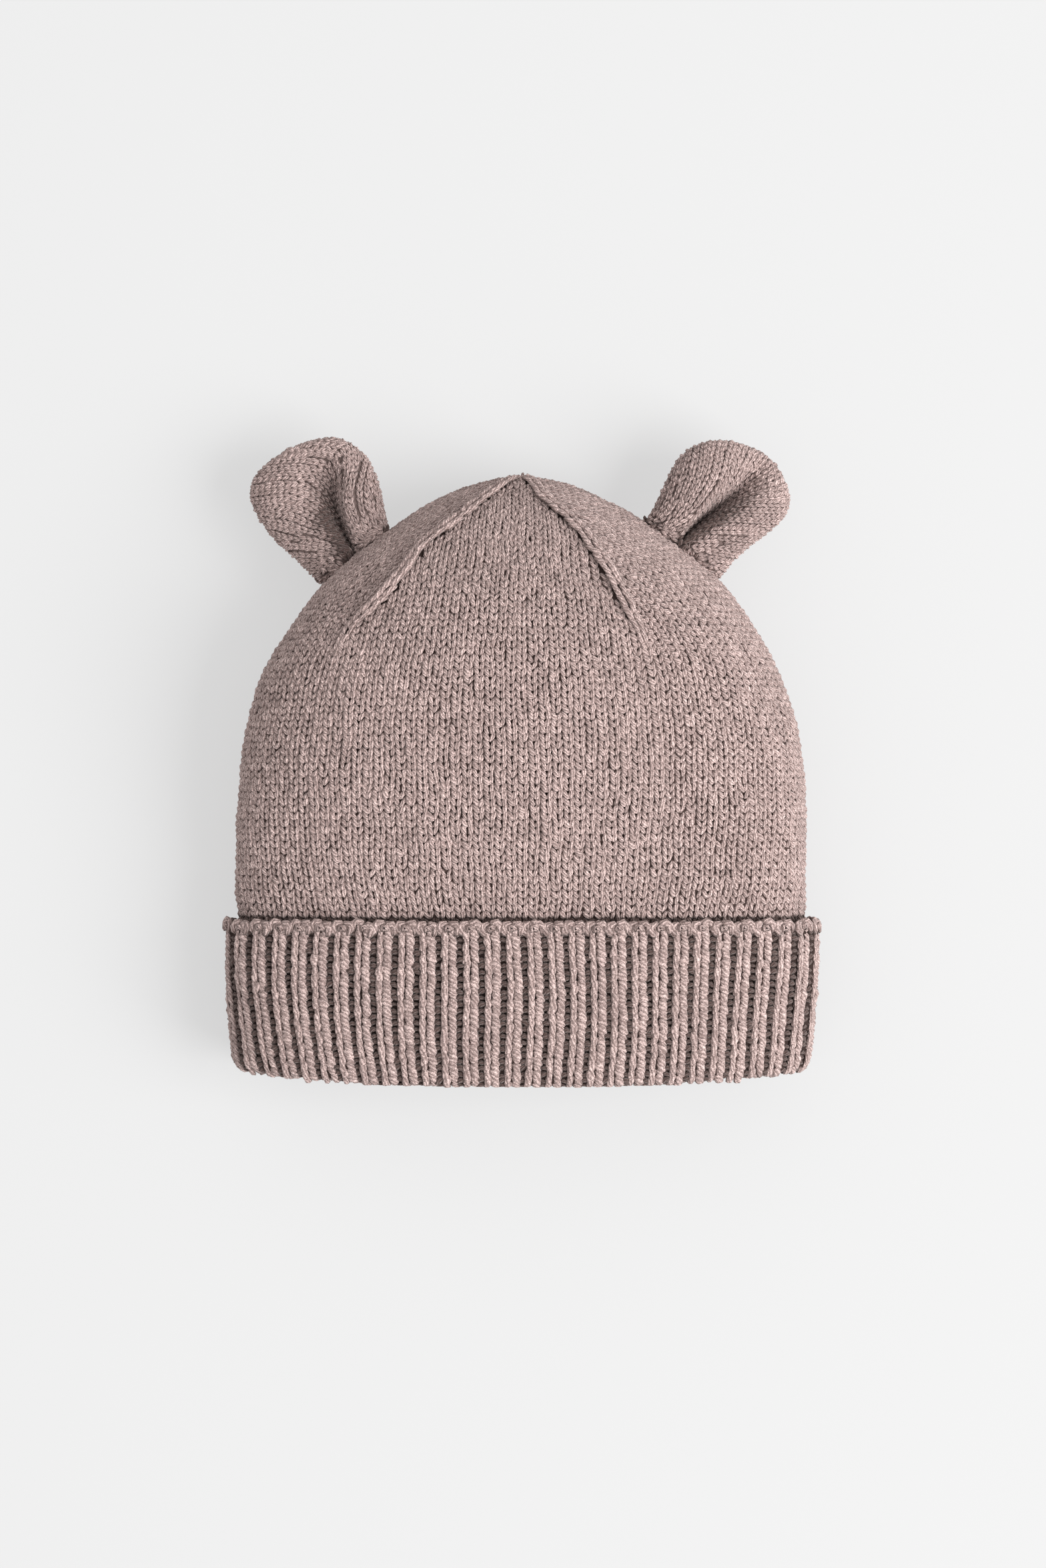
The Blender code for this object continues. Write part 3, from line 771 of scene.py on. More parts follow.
def sway(share, height):
    """How far a rib wanders sideways at a height over the fold."""
    turn, climb = 2 * np.pi * share, height / CUFF_LENGTH
    wave = np.sin(3 * turn + 2.3 * climb) * np.sin(np.pi * climb)
    return SWAY * (wave + 0.8 * np.sin(turn) * (climb - 0.5))


def inner_lengths(ring):
    """Lengths along a ring that is drawn in to the line where the ribs are evenly spaced."""
    lead = np.roll(ring[:-1], -1, axis=0) - np.roll(ring[:-1], 1, axis=0)
    out = unit(np.column_stack([-lead[:, 2], np.zeros(len(lead)), lead[:, 0]]))
    drawn = ring[:-1] - out * RIB_INSET
    return lengths(np.vstack([drawn, drawn[:1]]))


# %% [markdown]
# A ring finds its place from the hat's middle line, which works on the cuff's outer face but
# not round its fold. So from a line near the fold each column walks on by itself: it takes
# short steps straight ahead over the surface, round the fold and up inside.

# %% The columns of stitches, from the cuff's edge round the fold
RIBS = 60
RIB_ROW = 0.0020
TURN_Y = FOLD_Y + 0.0075  # under this line the columns walk round the fold
EDGE_ROOM = 0.0013  # from the cuff's edge to its first row
INSIDE_Y = FOLD_Y + 0.0445  # as far as the columns go inside
WALK_STEPS = 32
FOLD_STEPS = 12  # steps that surely bring a column round the fold


def walk(tree, place, heading, step, count, parts=4):
    """Points at equal steps over a surface from a place, straight ahead."""
    made = []
    here, ahead = Vector(place), Vector(heading).normalized()
    for _ in range(count):
        for _ in range(parts):
            hit, out = tree.find_nearest(here + ahead * (step / parts))[:2]
            moved = hit - here
            ahead = (moved - out * moved.dot(out)).normalized()
            here = hit
        made.append(np.array(here))
    return made


def cuff_columns(shares):
    """Stitch places by (row, column), from the cuff's edge down, round the fold and up inside."""
    rows = np.arange(CAD_CUFF[1].y - EDGE_ROOM, TURN_Y, -RIB_ROW)
    grid = {}
    for row, y in enumerate(rows):
        ring = ring_at(CUFF, y)
        along = inner_lengths(ring)
        moved = np.mod(shares + sway(shares, y - FOLD_Y) / along[-1], 1.0) * along[-1]
        points = np.column_stack([np.interp(moved, along, ring[:, k]) for k in range(3)])
        for column, point in enumerate(points):
            grid[row, column] = point
    last = len(rows) - 1
    for column in range(len(shares)):
        start = grid[last, column]
        heading = start - grid[last - 1, column]
        for step, point in enumerate(walk(CUFF, start, heading, RIB_ROW, WALK_STEPS)):
            if step > FOLD_STEPS and point[1] > INSIDE_Y:
                break
            grid[last + 1 + step, column] = point
    return grid, last


rib_grid, outer_rows = cuff_columns((np.arange(RIBS) + 0.5) / RIBS)
recess_grid, _ = cuff_columns(np.arange(RIBS) / RIBS)
print("The ribs have", max(key[0] for key in rib_grid), "rows")

# %% [markdown]
# A rib's two legs aren't alike: the twist of the yarn lays one broad and the other narrow. In
# the recesses only cross bumps show, deep in the ribs' shade. Round the fold the ribs are drawn
# in and the recesses open, so the bumps come up there and are shaded less. The hat's weight
# presses the fold flat where it bulges out, which keeps its line nearly straight.

# %% The ribs and the bumps between them
RIB_WIDTH = 0.0064
BUMP_WIDTH = 0.0034
# the bumps' tone is set lower, as painted shade in the recesses
BUMP_SHADE_TONE = -1.2
BUMP_LOOSE = 1.5
BUMP_SHADE = 0.0022  # how much deeper than it lies a bump is coloured, as the ribs shade it
FOLD_LIGHT = 0.75  # the share of that shade which it loses in the open fold
FOLD_SINK = 0.0012  # how far the ribs are drawn in where they turn round the fold
BUMP_SINK = 0.0006  # the same for the bumps, which fill the recesses there
PRESS_Y = -0.1019  # past this line the rolled fold is pressed flat
PRESS_SHARE = 0.35  # the share of its bulge that stays there
BROAD_LEG = Leg((0.02, -0.55, 0.0), (0.24, 0.25, 0.0012), (0.33, 1.45, -0.0005), 0.226, 0.00085)
NARROW_LEG = Leg((0.10, -0.55, -0.0001), (0.22, 0.25, 0.0011), (0.23, 1.55, -0.0002), 0.2, 0.00085)
ARCH = Leg((-0.06, 0.02, 0.0005), (0.80, -0.35, 0.0010), (0.32, 1.90, 0.0), 0.200, 0.00095)
CURL = Leg((-0.16, 1.35, 0.0004), (0.00, -0.10, 0.0022), (0.15, 1.40, 0.0004), 0.170, 0.00080)


def fold_share(spots):
    """1 where the fold faces the mouth, and 0 on the cuff's two faces."""
    return np.clip(-spots.out[:, 1], 0, 1) ** 2


def press(place):
    """Presses flat what bulges out past the fold's line."""
    past = np.minimum(place[..., 1:2] - PRESS_Y, 0)
    return place - past * (1 - PRESS_SHARE) * np.array([0, 1, 0])


def column_spots(grid, first, end, width, sink):
    """Spots on a range of a grid's rows, all equally wide, and drawn in round the fold."""
    spots, keys = grid_spots(CUFF, grid)
    chosen = [i for i, key in enumerate(keys) if first <= key[0] <= end]
    spots = Spots(*[column[chosen] for column in spots])
    place = spots.place - spots.out * (sink * fold_share(spots))[:, None]
    return spots._replace(place=place, width=np.full(len(chosen), width))


def rib_parts(first, end, strand, bump_strand):
    """The ribs and the bumps between them on a range of rows."""
    spots = column_spots(rib_grid, first, end, RIB_WIDTH, FOLD_SINK)
    parts = knit_legs(spots, (BROAD_LEG, NARROW_LEG), strand, lift=-0.0001)
    bumps = column_spots(recess_grid, first, end, BUMP_WIDTH, BUMP_SINK)
    place, height = bend_strands(bumps, PURL, 1, bump_strand, loose=BUMP_LOOSE)
    height = height - BUMP_SHADE * (1 - FOLD_LIGHT * fold_share(bumps))[:, None]
    parts.append((bump_strand, place, height, RANDOM.normal(BUMP_SHADE_TONE, 1, len(place))))
    return [(strand, press(place), height, tone) for strand, place, height, tone in parts]


def rib_ends():
    """The loops that bind off each rib at the cuff's edge: an arch and a curl of yarn."""
    spots = column_spots(rib_grid, 0, 0, RIB_WIDTH, 0.0)
    parts = []
    for sign, leg in ((-1, ARCH), (1, ARCH), (1, CURL)):
        place, height = bend_strands(spots, leg, sign, FINE)
        parts.append((FINE, place, height, RANDOM.normal(0, 1, len(place))))
    return parts


FOLD_ROWS = outer_rows + 6  # rows down to the fold's inner side
cuff_ribs = knit_piece("cuff_ribs", rib_parts(0, FOLD_ROWS, PLAIN, COARSE) + rib_ends())
inside_parts = rib_parts(FOLD_ROWS + 1, math.inf, COARSE, COARSE)
cuff_ribs_inside = knit_piece("cuff_ribs_inside", inside_parts)

# %% [markdown]
# Each ear is a round lobe of doubled knitting. It was gathered at its base and folded, so its
# wales fan out from the base, cross both flaps, and go round the rim to the back. The lines of
# the wales are drawn in the ear's own flat measure: along the ear, and across it over the
# folds, as if the cloth were unfolded.

# %% An ear's own axes
# base, heading: where an ear is sewn on, and how far it turns aside from the tip's direction.
# valley: how far across the ear the fold between its flaps lies, at each share of its length.
# hollow: how far the painted shade in the hollow beside the fold reaches, at a start, middle and
# end of it.
EarPlace = namedtuple("EarPlace", "name side base heading valley hollow")
EARS = (
    EarPlace(
        "ear_left", -1, (-0.0540, 0.0655, 0.0256), math.radians(39),
        ((0, 0.0008), (0.15, 0.0022), (0.35, 0.0045), (0.52, 0.0089), (0.68, 0.0106),
         (0.82, 0.0063), (0.92, 0.0016), (1, -0.0024)),
        (0.0018, 0.0044, 0.0058),
    ),
    EarPlace(
        "ear_right", 1, (0.0516, 0.0670, 0.0257), math.radians(41),
        ((0, 0.0032), (0.15, 0.0026), (0.35, 0.0016), (0.55, 0.0), (0.72, -0.0006),
         (0.85, -0.0012), (0.94, -0.0012), (1, -0.0008)),
        (0.0016, 0.0034, 0.0045),
    ),
)
EAR_LENGTH = 0.0398
EAR_DROOP = math.radians(5)


def ear_axes(ear):
    """Three directions of an ear: along it from its base, across it, and up from its face."""
    sin_h, cos_h = math.sin(ear.heading), math.cos(ear.heading)
    sin_d, cos_d = math.sin(EAR_DROOP), math.cos(EAR_DROOP)
    along = np.array([ear.side * sin_h * cos_d, cos_h * cos_d, -sin_d])
    across = np.array([-ear.side * cos_h, sin_h, 0.0])
    up = np.array([ear.side * sin_h * sin_d, cos_h * sin_d, cos_d])
    return along, across, up


def valley_at(ear, a):
    """How far across an ear the fold between its flaps lies, at places along it."""
    knots, values = zip(*ear.valley)
    return np.interp(a / EAR_LENGTH, knots, values)


for ear in EARS:
    print(ear.name, "points along", np.round(ear_axes(ear)[0], 2))

# %% One face of an ear, measured as if it were unfolded
EAR_CLEAR = 0.05  # from an ear's middle to well clear of it
STATION_STEP = 0.0007  # between the lines that are measured across an ear
ACROSS_STEP = 0.0003  # between the points of such a line
ACROSS_REACH = 0.027
STATIONS_BEFORE = 0.010  # how far before its base the first line lies
INSIDE_STATION = 20  # a line that surely meets the ear
RIM_ROOM = 0.0008  # how far past the rim a place may lie and still be read


class EarFace:
    """One face of an ear, measured along and across as if it were unfolded."""

    def __init__(self, ear, tree, facing):
        along, across, up = ear_axes(ear)
        self.stations = np.arange(-STATIONS_BEFORE, EAR_LENGTH + 0.0004, STATION_STEP)
        steps = np.arange(-ACROSS_REACH, ACROSS_REACH + 0.0001, ACROSS_STEP)
        base = np.array(ear.base)
        self.rows, edges = [], []
        for a in self.stations:
            starts = base + along * a + across * steps[:, None] + up * facing * EAR_CLEAR
            hits = [tree.ray_cast(Vector(start), Vector(-up * facing))[0] for start in starts]
            found = np.array([hit is not None for hit in hits])
            if found.sum() < 3:
                self.rows.append(None)
                continue
            points = np.array([hit for hit in hits if hit is not None])
            x = steps[found]
            arc = lengths(points)
            arc = arc - np.interp(valley_at(ear, a), x, arc)
            self.rows.append((x, arc, points))
            edges.append((a, x[0], x[-1]))
        self.edges = np.array(edges)

    def row_near(self, a):
        """The measured line across the ear that is nearest to a place along it."""
        i = int(np.clip(np.searchsorted(self.stations, a), 0, len(self.rows) - 1))
        while self.rows[i] is None:
            i = i - 1 if i > INSIDE_STATION else i + 1
        return self.rows[i]

    def unfolded(self, a, x):
        """How far across the unfolded cloth a place is."""
        row = self.row_near(a)
        return float(np.interp(x, row[0], row[1]))

    def place(self, a, arc):
        """The place of an unfolded measure on the ear, or None where the ear has ended."""
        spot = (a - self.stations[0]) / (self.stations[1] - self.stations[0])
        i = int(np.clip(math.floor(spot), 0, len(self.rows) - 2))
        if self.rows[i] is None or self.rows[i + 1] is None:
            return None
        pair = []
        for row in (self.rows[i], self.rows[i + 1]):
            if not row[1][0] - RIM_ROOM <= arc <= row[1][-1] + RIM_ROOM:
                return None
            pair.append([np.interp(arc, row[1], row[2][:, k]) for k in range(3)])
        part = min(max(spot - i, 0), 1)
        return np.array(pair[0]) * (1 - part) + np.array(pair[1]) * part


EAR_TREES = {}
EAR_SKINS = {}
for ear in EARS:
    EAR_SKINS[ear.name] = welded_copy(ear.name, ear.name + "_face", levels=2)
    EAR_TREES[ear.name] = search_tree(EAR_SKINS[ear.name])
    edges = EarFace(ear, EAR_TREES[ear.name], 1).edges
    print(f"{ear.name} is up to {(edges[:, 2] - edges[:, 1]).max() * 1000:.0f} mm wide")

# %% [markdown]
# The wales start side by side on the sewn edge and end spread round the rim. How densely they
# lie is measured on the way, so that the places on the rim can be chosen where the wales are
# evenly spread. Near the base they crowd, and real knitting has fewer wales there, so every
# second one is left out, then every fourth, and those that stay are wider.

# %% The ears' wales
EAR_WALE = 0.0027
EAR_ROW = 0.0021
EAR_LEAD = 0.0012
EAR_SEAM = -0.0060  # where the wales start, inside the crown
SEAM_ROOM = 0.03  # the share of the sewn edge without wales at each end
TIP_POINTS = 14
WALE_SHARES = np.linspace(0.0, 0.995, 80)  # shares of a wale at which its way is measured


def wale_start(face, part):
    """Where on the sewn edge a wale starts, unfolded. part: 0 at the low end, 1 at the high."""
    arc = face.row_near(EAR_SEAM)[1]
    return EAR_SEAM, arc[0] + (arc[-1] - arc[0]) * (SEAM_ROOM + (1 - 2 * SEAM_ROOM) * part)


def ear_outline(face):
    """The rim of an ear as (along, across, part) places, so that the wales lie evenly."""
    low = face.edges[:, [0, 1]] + [0, 0.0002]
    high = face.edges[::-1][:, [0, 2]] - [0, 0.0002]
    tip = np.linspace(low[-1], high[0], TIP_POINTS)[1:-1]
    outline = np.vstack([low, tip, high])
    part = np.linspace(0, 1, len(outline))
    gaps = np.zeros(len(outline) - 1)
    for reach in (1.0, 0.75, 0.5):
        places = []
        for (a, x), f in zip(outline, part):
            start_a, start_arc = wale_start(face, f)
            grow_a, grow_arc = a - start_a, face.unfolded(a, x) - start_arc
            made = face.place(start_a + grow_a * reach, start_arc + grow_arc * reach)
            places.append(made if made is not None else np.full(3, np.nan))
        steps = np.linalg.norm(np.diff(np.array(places), axis=0), axis=1)
        gaps = np.fmax(gaps, np.nan_to_num(steps))
    total = np.concatenate([[0], np.cumsum(np.clip(gaps, 0.0002, 0.004))])
    count = int(total[-1] / EAR_WALE)
    at = np.linspace(0.3 * EAR_WALE, total[-1] - 0.3 * EAR_WALE, count)
    columns = (outline[:, 0], outline[:, 1], part)
    return np.column_stack([np.interp(at, total, column) for column in columns])


def ear_wales(ear, tree):
    """An ear's wales, over its face and back underneath: ways, stitches and directions."""
    top, under = EarFace(ear, tree, 1), EarFace(ear, tree, -1)
    wales = []
    for a, x, part in ear_outline(top):
        sides = []
        for face in (top, under):
            start_a, start_arc = wale_start(face, part)
            grow_a, grow_arc = a - start_a, face.unfolded(a, x) - start_arc
            spots = [(start_a + grow_a * s, start_arc + grow_arc * s) for s in WALE_SHARES]
            places = [face.place(*spot) for spot in spots]
            sides.append([place for place in places if place is not None])
        if min(len(side) for side in sides) < 4:
            continue
        points = np.array(sides[0] + sides[1][::-1])
        total = lengths(points)
        rim = total[len(sides[0]) - 1]
        at = np.arange(rim % EAR_ROW, total[-1], EAR_ROW)
        wales.append((points, read_line(points, at), lead_at(points, at, EAR_LEAD)))
    return wales


EAR_WALES = {ear.name: ear_wales(ear, EAR_TREES[ear.name]) for ear in EARS}
print("Wales on the ears:", [len(wales) for wales in EAR_WALES.values()])

# %% Spots along the ears' wales
EAR_TIGHTEST = 0.0015
EAR_WIDEST = 0.0042
SEAM_CLEAR = 0.0002  # stitches nearer to the crown's face are left out


def thinned(number, wide):
    """A stitch's width where the wales crowd, or None if its wale is left out there."""
    for step in (2, 4):
        if wide < EAR_TIGHTEST:
            if number % step:
                return None
            wide = wide * 2
    return wide


def ear_spots(wales, tree):
    """Spots along an ear's wales: out over its face, round the rim and back underneath."""
    rows = []
    for number, (_, line, lead) in enumerate(wales):
        beside = [wales[i][0] for i in (number - 1, number + 1) if 0 <= i < len(wales)]
        gaps = [np.linalg.norm(line[:, None] - other[None], axis=2).min(axis=1) for other in beside]
        for point, ahead, wide in zip(line, lead, np.mean(gaps, axis=0)):
            wide = thinned(number, wide)
            if wide is not None:
                rows.append((point, ahead, min(max(wide, EAR_TIGHTEST), EAR_WIDEST)))
    places, outs = nearest(tree, [row[0] for row in rows])
    up = lay_on(np.array([row[1] for row in rows]), outs)
    keep = np.linalg.norm(places - nearest(CROWN, places)[0], axis=1) > SEAM_CLEAR
    width = np.array([row[2] for row in rows])[keep]
    places, outs, up = places[keep], outs[keep], up[keep]
    height = np.full(len(places), EAR_ROW)
    return Spots(places, np.cross(up, outs), up, outs, width, height)


EAR_SPOTS = {name: ear_spots(wales, EAR_TREES[name]) for name, wales in EAR_WALES.items()}
print("Stitches on the ears' wales:", [len(spots.place) for spots in EAR_SPOTS.values()])

# %% [markdown]
# Deep in the folds some cloth stays bare between the wales. It is mended as a hole is: further
# stitches are set in, one after another, always at the barest place.

# %% Darning the bare places
DARN_WIDEST = 0.00155  # no part of the ear stays farther from a stitch
INSIDE_CROWN = -0.0008  # under the crown's face by more than this, nothing is darned


def darn(spots, skin):
    """More stitches wherever the skin is far from any stitch, beside those around them."""
    known = KDTree(len(spots.place))
    for i, middle in enumerate(spots.place + spots.up * spots.height[:, None] / 2):
        known.insert(middle, i)
    known.balance()
    corners = np.array([corner.co for corner in skin.data.vertices])
    outs = np.array([corner.normal for corner in skin.data.vertices])
    away = np.array([known.find(corner)[2] for corner in corners])
    spot, crown_out = nearest(CROWN, corners)
    away[((corners - spot) * crown_out).sum(axis=1) < INSIDE_CROWN] = 0
    made = []
    while away.max() > DARN_WIDEST:
        i = int(np.argmax(away))
        place, out = corners[i], outs[i]
        up = sum(spots.up[found[1]] for found in known.find_n(place, 4))
        up = unit(up - out * (up @ out))
        made.append((place - up * EAR_ROW / 2, np.cross(up, out), up, out, EAR_WALE, EAR_ROW))
        away = np.minimum(away, np.linalg.norm(corners - place, axis=1))
    print(f"{skin.name}: {len(made)} stitches added to {len(spots.place)}")
    return Spots(*[np.concatenate([old, np.array(new)]) for old, new in zip(spots, zip(*made))])


for name, skin in EAR_SKINS.items():
    EAR_SPOTS[name] = darn(EAR_SPOTS[name], skin)
    bpy.data.objects.remove(skin)

# %% [markdown]
# The hollow beside an ear's fold is dark in the photograph. The cloth is too thick there for a
# sharp crease, so part of the shade is set in the yarn's depth, fading out along the fold. Two
# knots of the sewing thread show on the left ear's seam. The ground cloth's sewn edge is drawn
# down on to the crown, so that no gap opens under it.

# %% The fold's shade, the knots and the sewn edge
# the painted shade in an ear's fold: how much deeper than it lies the yarn there is coloured
HOLLOW_DEPTH = 0.0015
HOLLOW_EDGE = 0.0008
FACE_LOW = -0.003  # lower than this in its ear, a place is on the underside
KNOTS = ((-0.0608, 0.0637), (-0.0632, 0.0600))
KNOT = Leg((-0.5, 0.1, -0.0002), (0.0, 0.5, 0.0012), (0.5, 0.0, -0.0002), 0.20, 0.00055)
KNOT_WIDTH = 0.0024
KNOT_HEIGHT = 0.0016
KNOT_TURNS = (0.5, 1.5)  # in radians: two strands cross in a knot
KNOT_TONE = 3.0
SEAT_REACH = 0.0026
SEAT_DEPTH = 0.0012


def in_fold(ear, place):
    """Painted shade in the fold between an ear's flaps: 1 deep in it, and 0 away from it."""
    along, across, up = ear_axes(ear)
    away = place - np.array(ear.base)
    a, x = away @ along, away @ across
    beside = x - valley_at(ear, a)
    reach = np.interp(a / EAR_LENGTH, [0.0, 0.5, 0.8], ear.hollow)
    fade = np.interp(a / EAR_LENGTH, [0.0, 0.35, 0.80], [1.0, 0.85, 0.0])
    near = np.exp(-(((beside + reach) / (reach + HOLLOW_EDGE)) ** 2))
    return fade * near * (away @ up > FACE_LOW)


def knot_spots(tree):
    """Spots on the seam between an ear and the crown."""
    rows = []
    for x, y in KNOTS:
        hits = [part.ray_cast(Vector((x, y, 0.2)), Vector((0, 0, -1)))[0] for part in (tree, CROWN)]
        high = max((hit for hit in hits if hit is not None), key=lambda hit: hit.z)
        for turn in KNOT_TURNS:
            up = np.array([math.sin(turn), math.cos(turn), 0.0])
            side = np.cross(up, (0, 0, 1))
            rows.append((np.array(high), side, up, (0, 0, 1), KNOT_WIDTH, KNOT_HEIGHT))
    return Spots(*[np.array(column, float) for column in zip(*rows)])


def seat_on_crown(cloth):
    """Draws an ear's sewn edge down on to the crown."""
    for corner in cloth.data.vertices:
        spot, out, _, away = CROWN.find_nearest(corner.co)
        if away < SEAT_REACH:
            part = 1 - (away / SEAT_REACH) ** 2
            corner.co = corner.co.lerp(spot - out * SEAT_DEPTH, part)


for ear in EARS:
    seat_on_crown(GROUNDS[ear.name])
    print(f"{GROUNDS[ear.name].name} is seated on the crown")

# %% The ears' stitches
EAR_KNIT = KNIT._replace(across=0.285, deep=0.00085)
ear_stitches = {}
for ear in EARS:
    legs = knit_legs(EAR_SPOTS[ear.name], (EAR_KNIT, EAR_KNIT), FINE, lift=-0.0003, loose=0.6)
    legs = shade(legs, lambda place: in_fold(ear, place), HOLLOW_DEPTH)
    if ear.name == "ear_left":
        knots = knot_spots(EAR_TREES[ear.name])
        place, height = bend_strands(knots, KNOT, 1, FINE, lift=0.0013)
        legs.append((FINE, place, height, np.full(len(place), KNOT_TONE)))
    ear_stitches[ear.name] = knit_piece(ear.name + "_stitches", legs)

# %% [markdown]
# The wool is a matte heathered yarn of thin twisted plies, with soft fibres. The plies could be
# modelled, but at this size only their light and shade shows. So they are stripes that follow
# each strand's own UV map, aslant, which also feed a bump: each ply's top has a painted
# highlight, and painted shade lies between them. A V's left leg shows them nearly along it and
# its right leg nearly across, as twisted yarn does.


# %% Shader maths as Python expressions
class Wire:
    """A shader socket that takes + - * and powers, and adds the Math nodes for them."""

    def __init__(self, recipe, socket):
        self.recipe, self.socket = recipe, socket

    def maths(self, operation, *values):
        return self.recipe.node("ShaderNodeMath", {"operation": operation}, dict(enumerate(values)))

    def __add__(self, other):
        return self.maths("ADD", self, other)

    def __sub__(self, other):
        return self.maths("SUBTRACT", self, other)

    def __rsub__(self, other):
        return self.maths("SUBTRACT", other, self)

    def __mul__(self, other):
        return self.maths("MULTIPLY", self, other)

    def __pow__(self, other):
        if other in (2, 3):
            return self * self if other == 2 else self * self * self
        return self.maths("POWER", self, other)

    __radd__ = __add__
    __rmul__ = __mul__

    def within(self):
        """The same number, kept from 0 to 1."""
        return self.maths("MINIMUM", self.maths("MAXIMUM", self, 0.0), 1.0)


class Recipe:
    """A material, and one method that makes any of its nodes."""

    def __init__(self, name):
        self.material = bpy.data.materials.new(name)
        self.material.use_nodes = True
        self.tree = self.material.node_tree
        self.shader = self.tree.nodes["Principled BSDF"]

    def node(self, kind, settings, values, output=0):
        """A node: its type, its settings, and the values or links of its sockets."""
        made = self.tree.nodes.new(kind)
        for key, value in settings.items():
            setattr(made, key, value)
        for key, value in values.items():
            if isinstance(value, Wire):
                self.tree.links.new(value.socket, made.inputs[key])
            else:
                made.inputs[key].default_value = value
        return Wire(self, made.outputs[output])

    def mix(self, factor, a, b, blend="MIX"):
        """A colour between two colours. Sockets 0, 6 and 7 are the factor and the colours."""
        settings = {"data_type": "RGBA", "blend_type": blend}
        return self.node("ShaderNodeMix", settings, {0: factor, 6: a, 7: b}, 2)

    def noise(self, scale, detail, roughness=0.5):
        """A soft random pattern on the object's own coordinates."""
        place = self.node("ShaderNodeTexCoord", {}, {}, 3)
        values = {"Vector": place, "Scale": scale, "Detail": detail, "Roughness": roughness}
        return self.node("ShaderNodeTexNoise", {}, values)

    def number_at(self, label):
        """A number that is kept at each vertex."""
        return self.node("ShaderNodeAttribute", {"attribute_name": label}, {}, 2)

    def finish(self, **values):
        """Sets or links the shader's own sockets, their names with _ for each space."""
        for key, value in values.items():
            socket = self.shader.inputs[key.replace("_", " ")]
            if isinstance(value, Wire):
                self.tree.links.new(value.socket, socket)
            else:
                socket.default_value = value
        return self.material


print("A wire's own operators:", [name for name in vars(Wire) if name.startswith("__r")])

# %% Twisted wool
# the colour of a painted highlight on each ply's top, and of pale fibres
WOOL_PALE_AND_HIGHLIGHT = (0.94, 0.72, 0.675, 1)
WOOL = (0.41, 0.298, 0.277, 1)
# the colour of painted shade deep between the stitches and between the plies, and of darker patches
WOOL_SHADE_AND_PATCHES = (0.088, 0.054, 0.047, 1)
PLIES = 5
TWIST = -0.55
DEEP_SHADE = 700.0  # wool that lies 1/700 m down is fully shaded


def tinted(colour, share):
    """A colour times a share."""
    return tuple(part * share for part in colour[:3]) + (1,)


def twisted_wool(name, tint):
    """Heathered yarn of twisted plies. tint scales its colours."""
    wool = Recipe(name)
    light, body, deep = [tinted(colour, tint) for colour in (WOOL_PALE_AND_HIGHLIGHT, WOOL, WOOL_SHADE_AND_PATCHES)]
    uv = wool.node("ShaderNodeUVMap", {"uv_map": "yarn"}, {})
    u = wool.node("ShaderNodeSeparateXYZ", {}, {0: uv})
    v = Wire(wool, u.socket.node.outputs[1])
    tone, painted_shade_depth = wool.number_at("tone"), wool.number_at("painted_shade_depth")
    fine = wool.noise(2600.0, 3.0, 0.6)
    loose = wool.noise(900.0, 1.0)
    heather = wool.noise(420.0, 2.0)
    patch = wool.noise(60.0, 1.0)
    turn = (u - v * TWIST + tone * 0.11 + loose * 0.16) * (math.pi * PLIES)
    ridge = turn.maths("SINE", turn) ** 2
    # painted shade: the deeper a vertex lies, the darker its wool is coloured
    high = (painted_shade_depth * DEEP_SHADE + 1.0).within()
    # painted highlight on the plies' tops, with pale fibres, heather and tone at random
    bright = ridge * 0.40 + fine * 4.0 + loose * 1.2 + heather * 0.7 + tone * 0.10 - 2.90
    # painted shade deep down and between the plies, with darker patches at random
    dark = (1 - high) ** 2 * 0.84 + (1 - ridge) ** 3 * 0.44 + (1 - patch) * 0.10
    colour = wool.mix(bright.within(), body, light)
    colour = wool.mix(dark.within(), colour, deep)
    relief = {"Strength": 1.0, "Distance": 0.00038, "Height": ridge * 0.8 + fine * 1.3}
    return wool.finish(
        Base_Color=colour,
        Roughness=0.95,
        Specular_IOR_Level=0.15,
        Sheen_Weight=0.25,
        Sheen_Roughness=0.5,
        Sheen_Tint=(1.0, 0.9, 0.86, 1),
        Normal=wool.node("ShaderNodeBump", {}, relief),
    )


crown_wool = twisted_wool("crown_wool", 1.0)
cuff_wool = twisted_wool("cuff_wool", 0.95)
for piece in crown_stitches + [decrease_cords] + list(ear_stitches.values()):
    piece.data.materials.append(crown_wool)
for piece in (cuff_ribs, cuff_ribs_inside):
    piece.data.materials.append(cuff_wool)
print("Each wool has", len(crown_wool.node_tree.nodes), "nodes")

# %% [markdown]
# What shows between the stitches is wool in their shade. It needs no plies, only fine fibres.
# It is darkest between the ribs, and palest in the ears, where little shade falls on it.


# %% The wool of the ground cloths
def ground_wool(name, colour):
    """The wool that shows between the stitches: darker, as painted shade, with fine fibres."""
    wool = Recipe(name)
    fine = wool.noise(900.0, 4.0, 0.65)
    relief = {"Strength": 0.7, "Distance": 0.0003, "Height": fine}
    return wool.finish(
        Base_Color=wool.mix(fine, tinted(colour, 0.4), colour),
        Roughness=0.97,
        Specular_IOR_Level=0.1,
        Normal=wool.node("ShaderNodeBump", {}, relief),
    )


# painted shade: darkest between the ribs, palest in the ears
between_stitches = ground_wool("wool_between_stitches", (0.080, 0.052, 0.046, 1))
between_ribs = ground_wool("wool_between_ribs", (0.052, 0.034, 0.030, 1))
inside_ears = ground_wool("wool_inside_ears", (0.225, 0.163, 0.150, 1))
for node, cloth in GROUNDS.items():
    wool = {"crown": between_stitches, "cuff": between_ribs}.get(node, inside_ears)
    cloth.data.materials.clear()
    cloth.data.materials.append(wool)
    print(cloth.name, "is of", wool.name)

# %% [markdown]
# Every piece is tied to the part's one body, and the CAD node that it stands for is hidden.

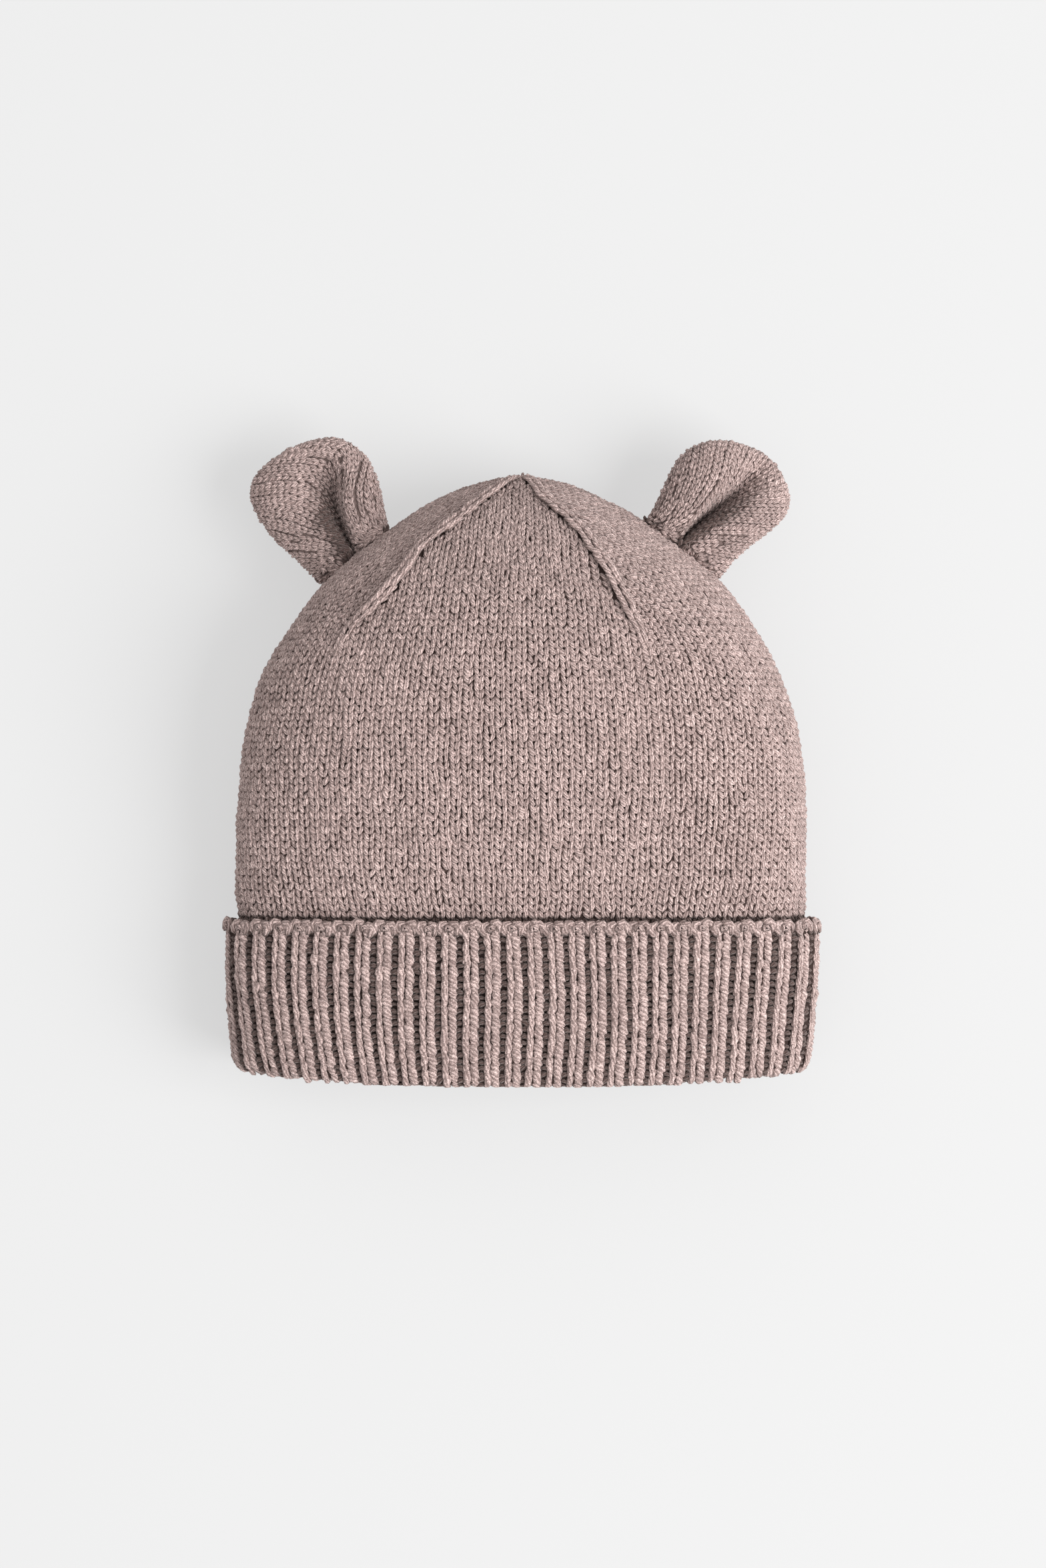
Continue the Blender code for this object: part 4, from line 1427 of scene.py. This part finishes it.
# %% Each piece tied to the body, and its CAD node hidden
DRESS = {
    "crown": ("plain_knit", [GROUNDS["crown"], *crown_stitches, decrease_cords]),
    "cuff": ("rib_knit", [GROUNDS["cuff"], cuff_ribs, cuff_ribs_inside]),
    "ear_left": ("ear_knit", [GROUNDS["ear_left"], ear_stitches["ear_left"]]),
    "ear_right": ("ear_knit", [GROUNDS["ear_right"], ear_stitches["ear_right"]]),
}
for node, (slot_name, pieces) in DRESS.items():
    for piece in pieces:
        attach(piece, "root")
        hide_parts(node)
    print(node, "is dressed in", len(pieces), "pieces")

# %% [markdown]
# All of the hat is cloth. Its flat size is that of the knitting before it is sewn: 41 cm
# round, by the crown's length over the dome, by the cuff's folded length, and by an ear.

# %% The sheets' real flat sizes
SHEETS = (
    # sheet, flat width and length, cloth area, how it is held
    ("crown", (0.410, 0.175), 0.0550, "laid"),
    ("cuff", (0.410, 0.107), None, "folded"),
    ("ear_left", (0.050, 0.040), 0.0016, "folded"),
    ("ear_right", (0.050, 0.040), 0.0016, "folded"),
)
for node, flat, area, held in SHEETS:
    cloth = GROUNDS[node]
    surface = sum(face.area for face in cloth.data.polygons)
    print(f"{cloth.name}: {surface / 2 * 1e4:.0f} square centimetres a layer")

# %% [markdown]
# The photograph has a plain pale floor and hardly any shadow. A floor that glows a little
# keeps the shadows faint, a pale sky lights all sides, and one large soft lamp from the right
# brings out the ribs and the stitches.

# %% Floor, light and colour handling
FLOOR_PALE = 0.22
FLOOR_GLOW = 0.535
SKY_GLOW = 0.80
LAMP_PLACE = (1.95, -0.55, 1.90)
LAMP_AIM = (0, 0, 0.02)
LAMP_SIZE = 2.0
LAMP_POWER = 101.0

bpy.ops.mesh.primitive_plane_add(size=6.0, location=(0, 0, 0))
floor = bpy.context.object
floor.name = "floor"
floor_paint = Recipe("floor_paint").finish(
    Base_Color=(FLOOR_PALE, FLOOR_PALE, FLOOR_PALE, 1),
    Roughness=0.95,
    Specular_IOR_Level=0.1,
    Emission_Color=(1, 1, 1, 1),
    Emission_Strength=FLOOR_GLOW,
)
floor.data.materials.append(floor_paint)

world = bpy.data.worlds.new("studio")
bpy.context.scene.world = world
world.use_nodes = True
world.node_tree.nodes["Background"].inputs["Color"].default_value = (1, 1, 1, 1)
world.node_tree.nodes["Background"].inputs["Strength"].default_value = SKY_GLOW
bpy.context.scene.view_settings.view_transform = "Standard"
bpy.context.scene.view_settings.look = "None"

bpy.ops.object.light_add(type="AREA", location=LAMP_PLACE)
lamp = bpy.context.object
lamp.name = "key_lamp"
lamp.data.size = LAMP_SIZE
lamp.data.energy = LAMP_POWER
lamp.rotation_euler = (Vector(LAMP_AIM) - Vector(LAMP_PLACE)).to_track_quat("-Z", "Y").to_euler()
print(f"The lamp is {Vector(LAMP_PLACE).length:.1f} m away and gives {LAMP_POWER:.0f} W")
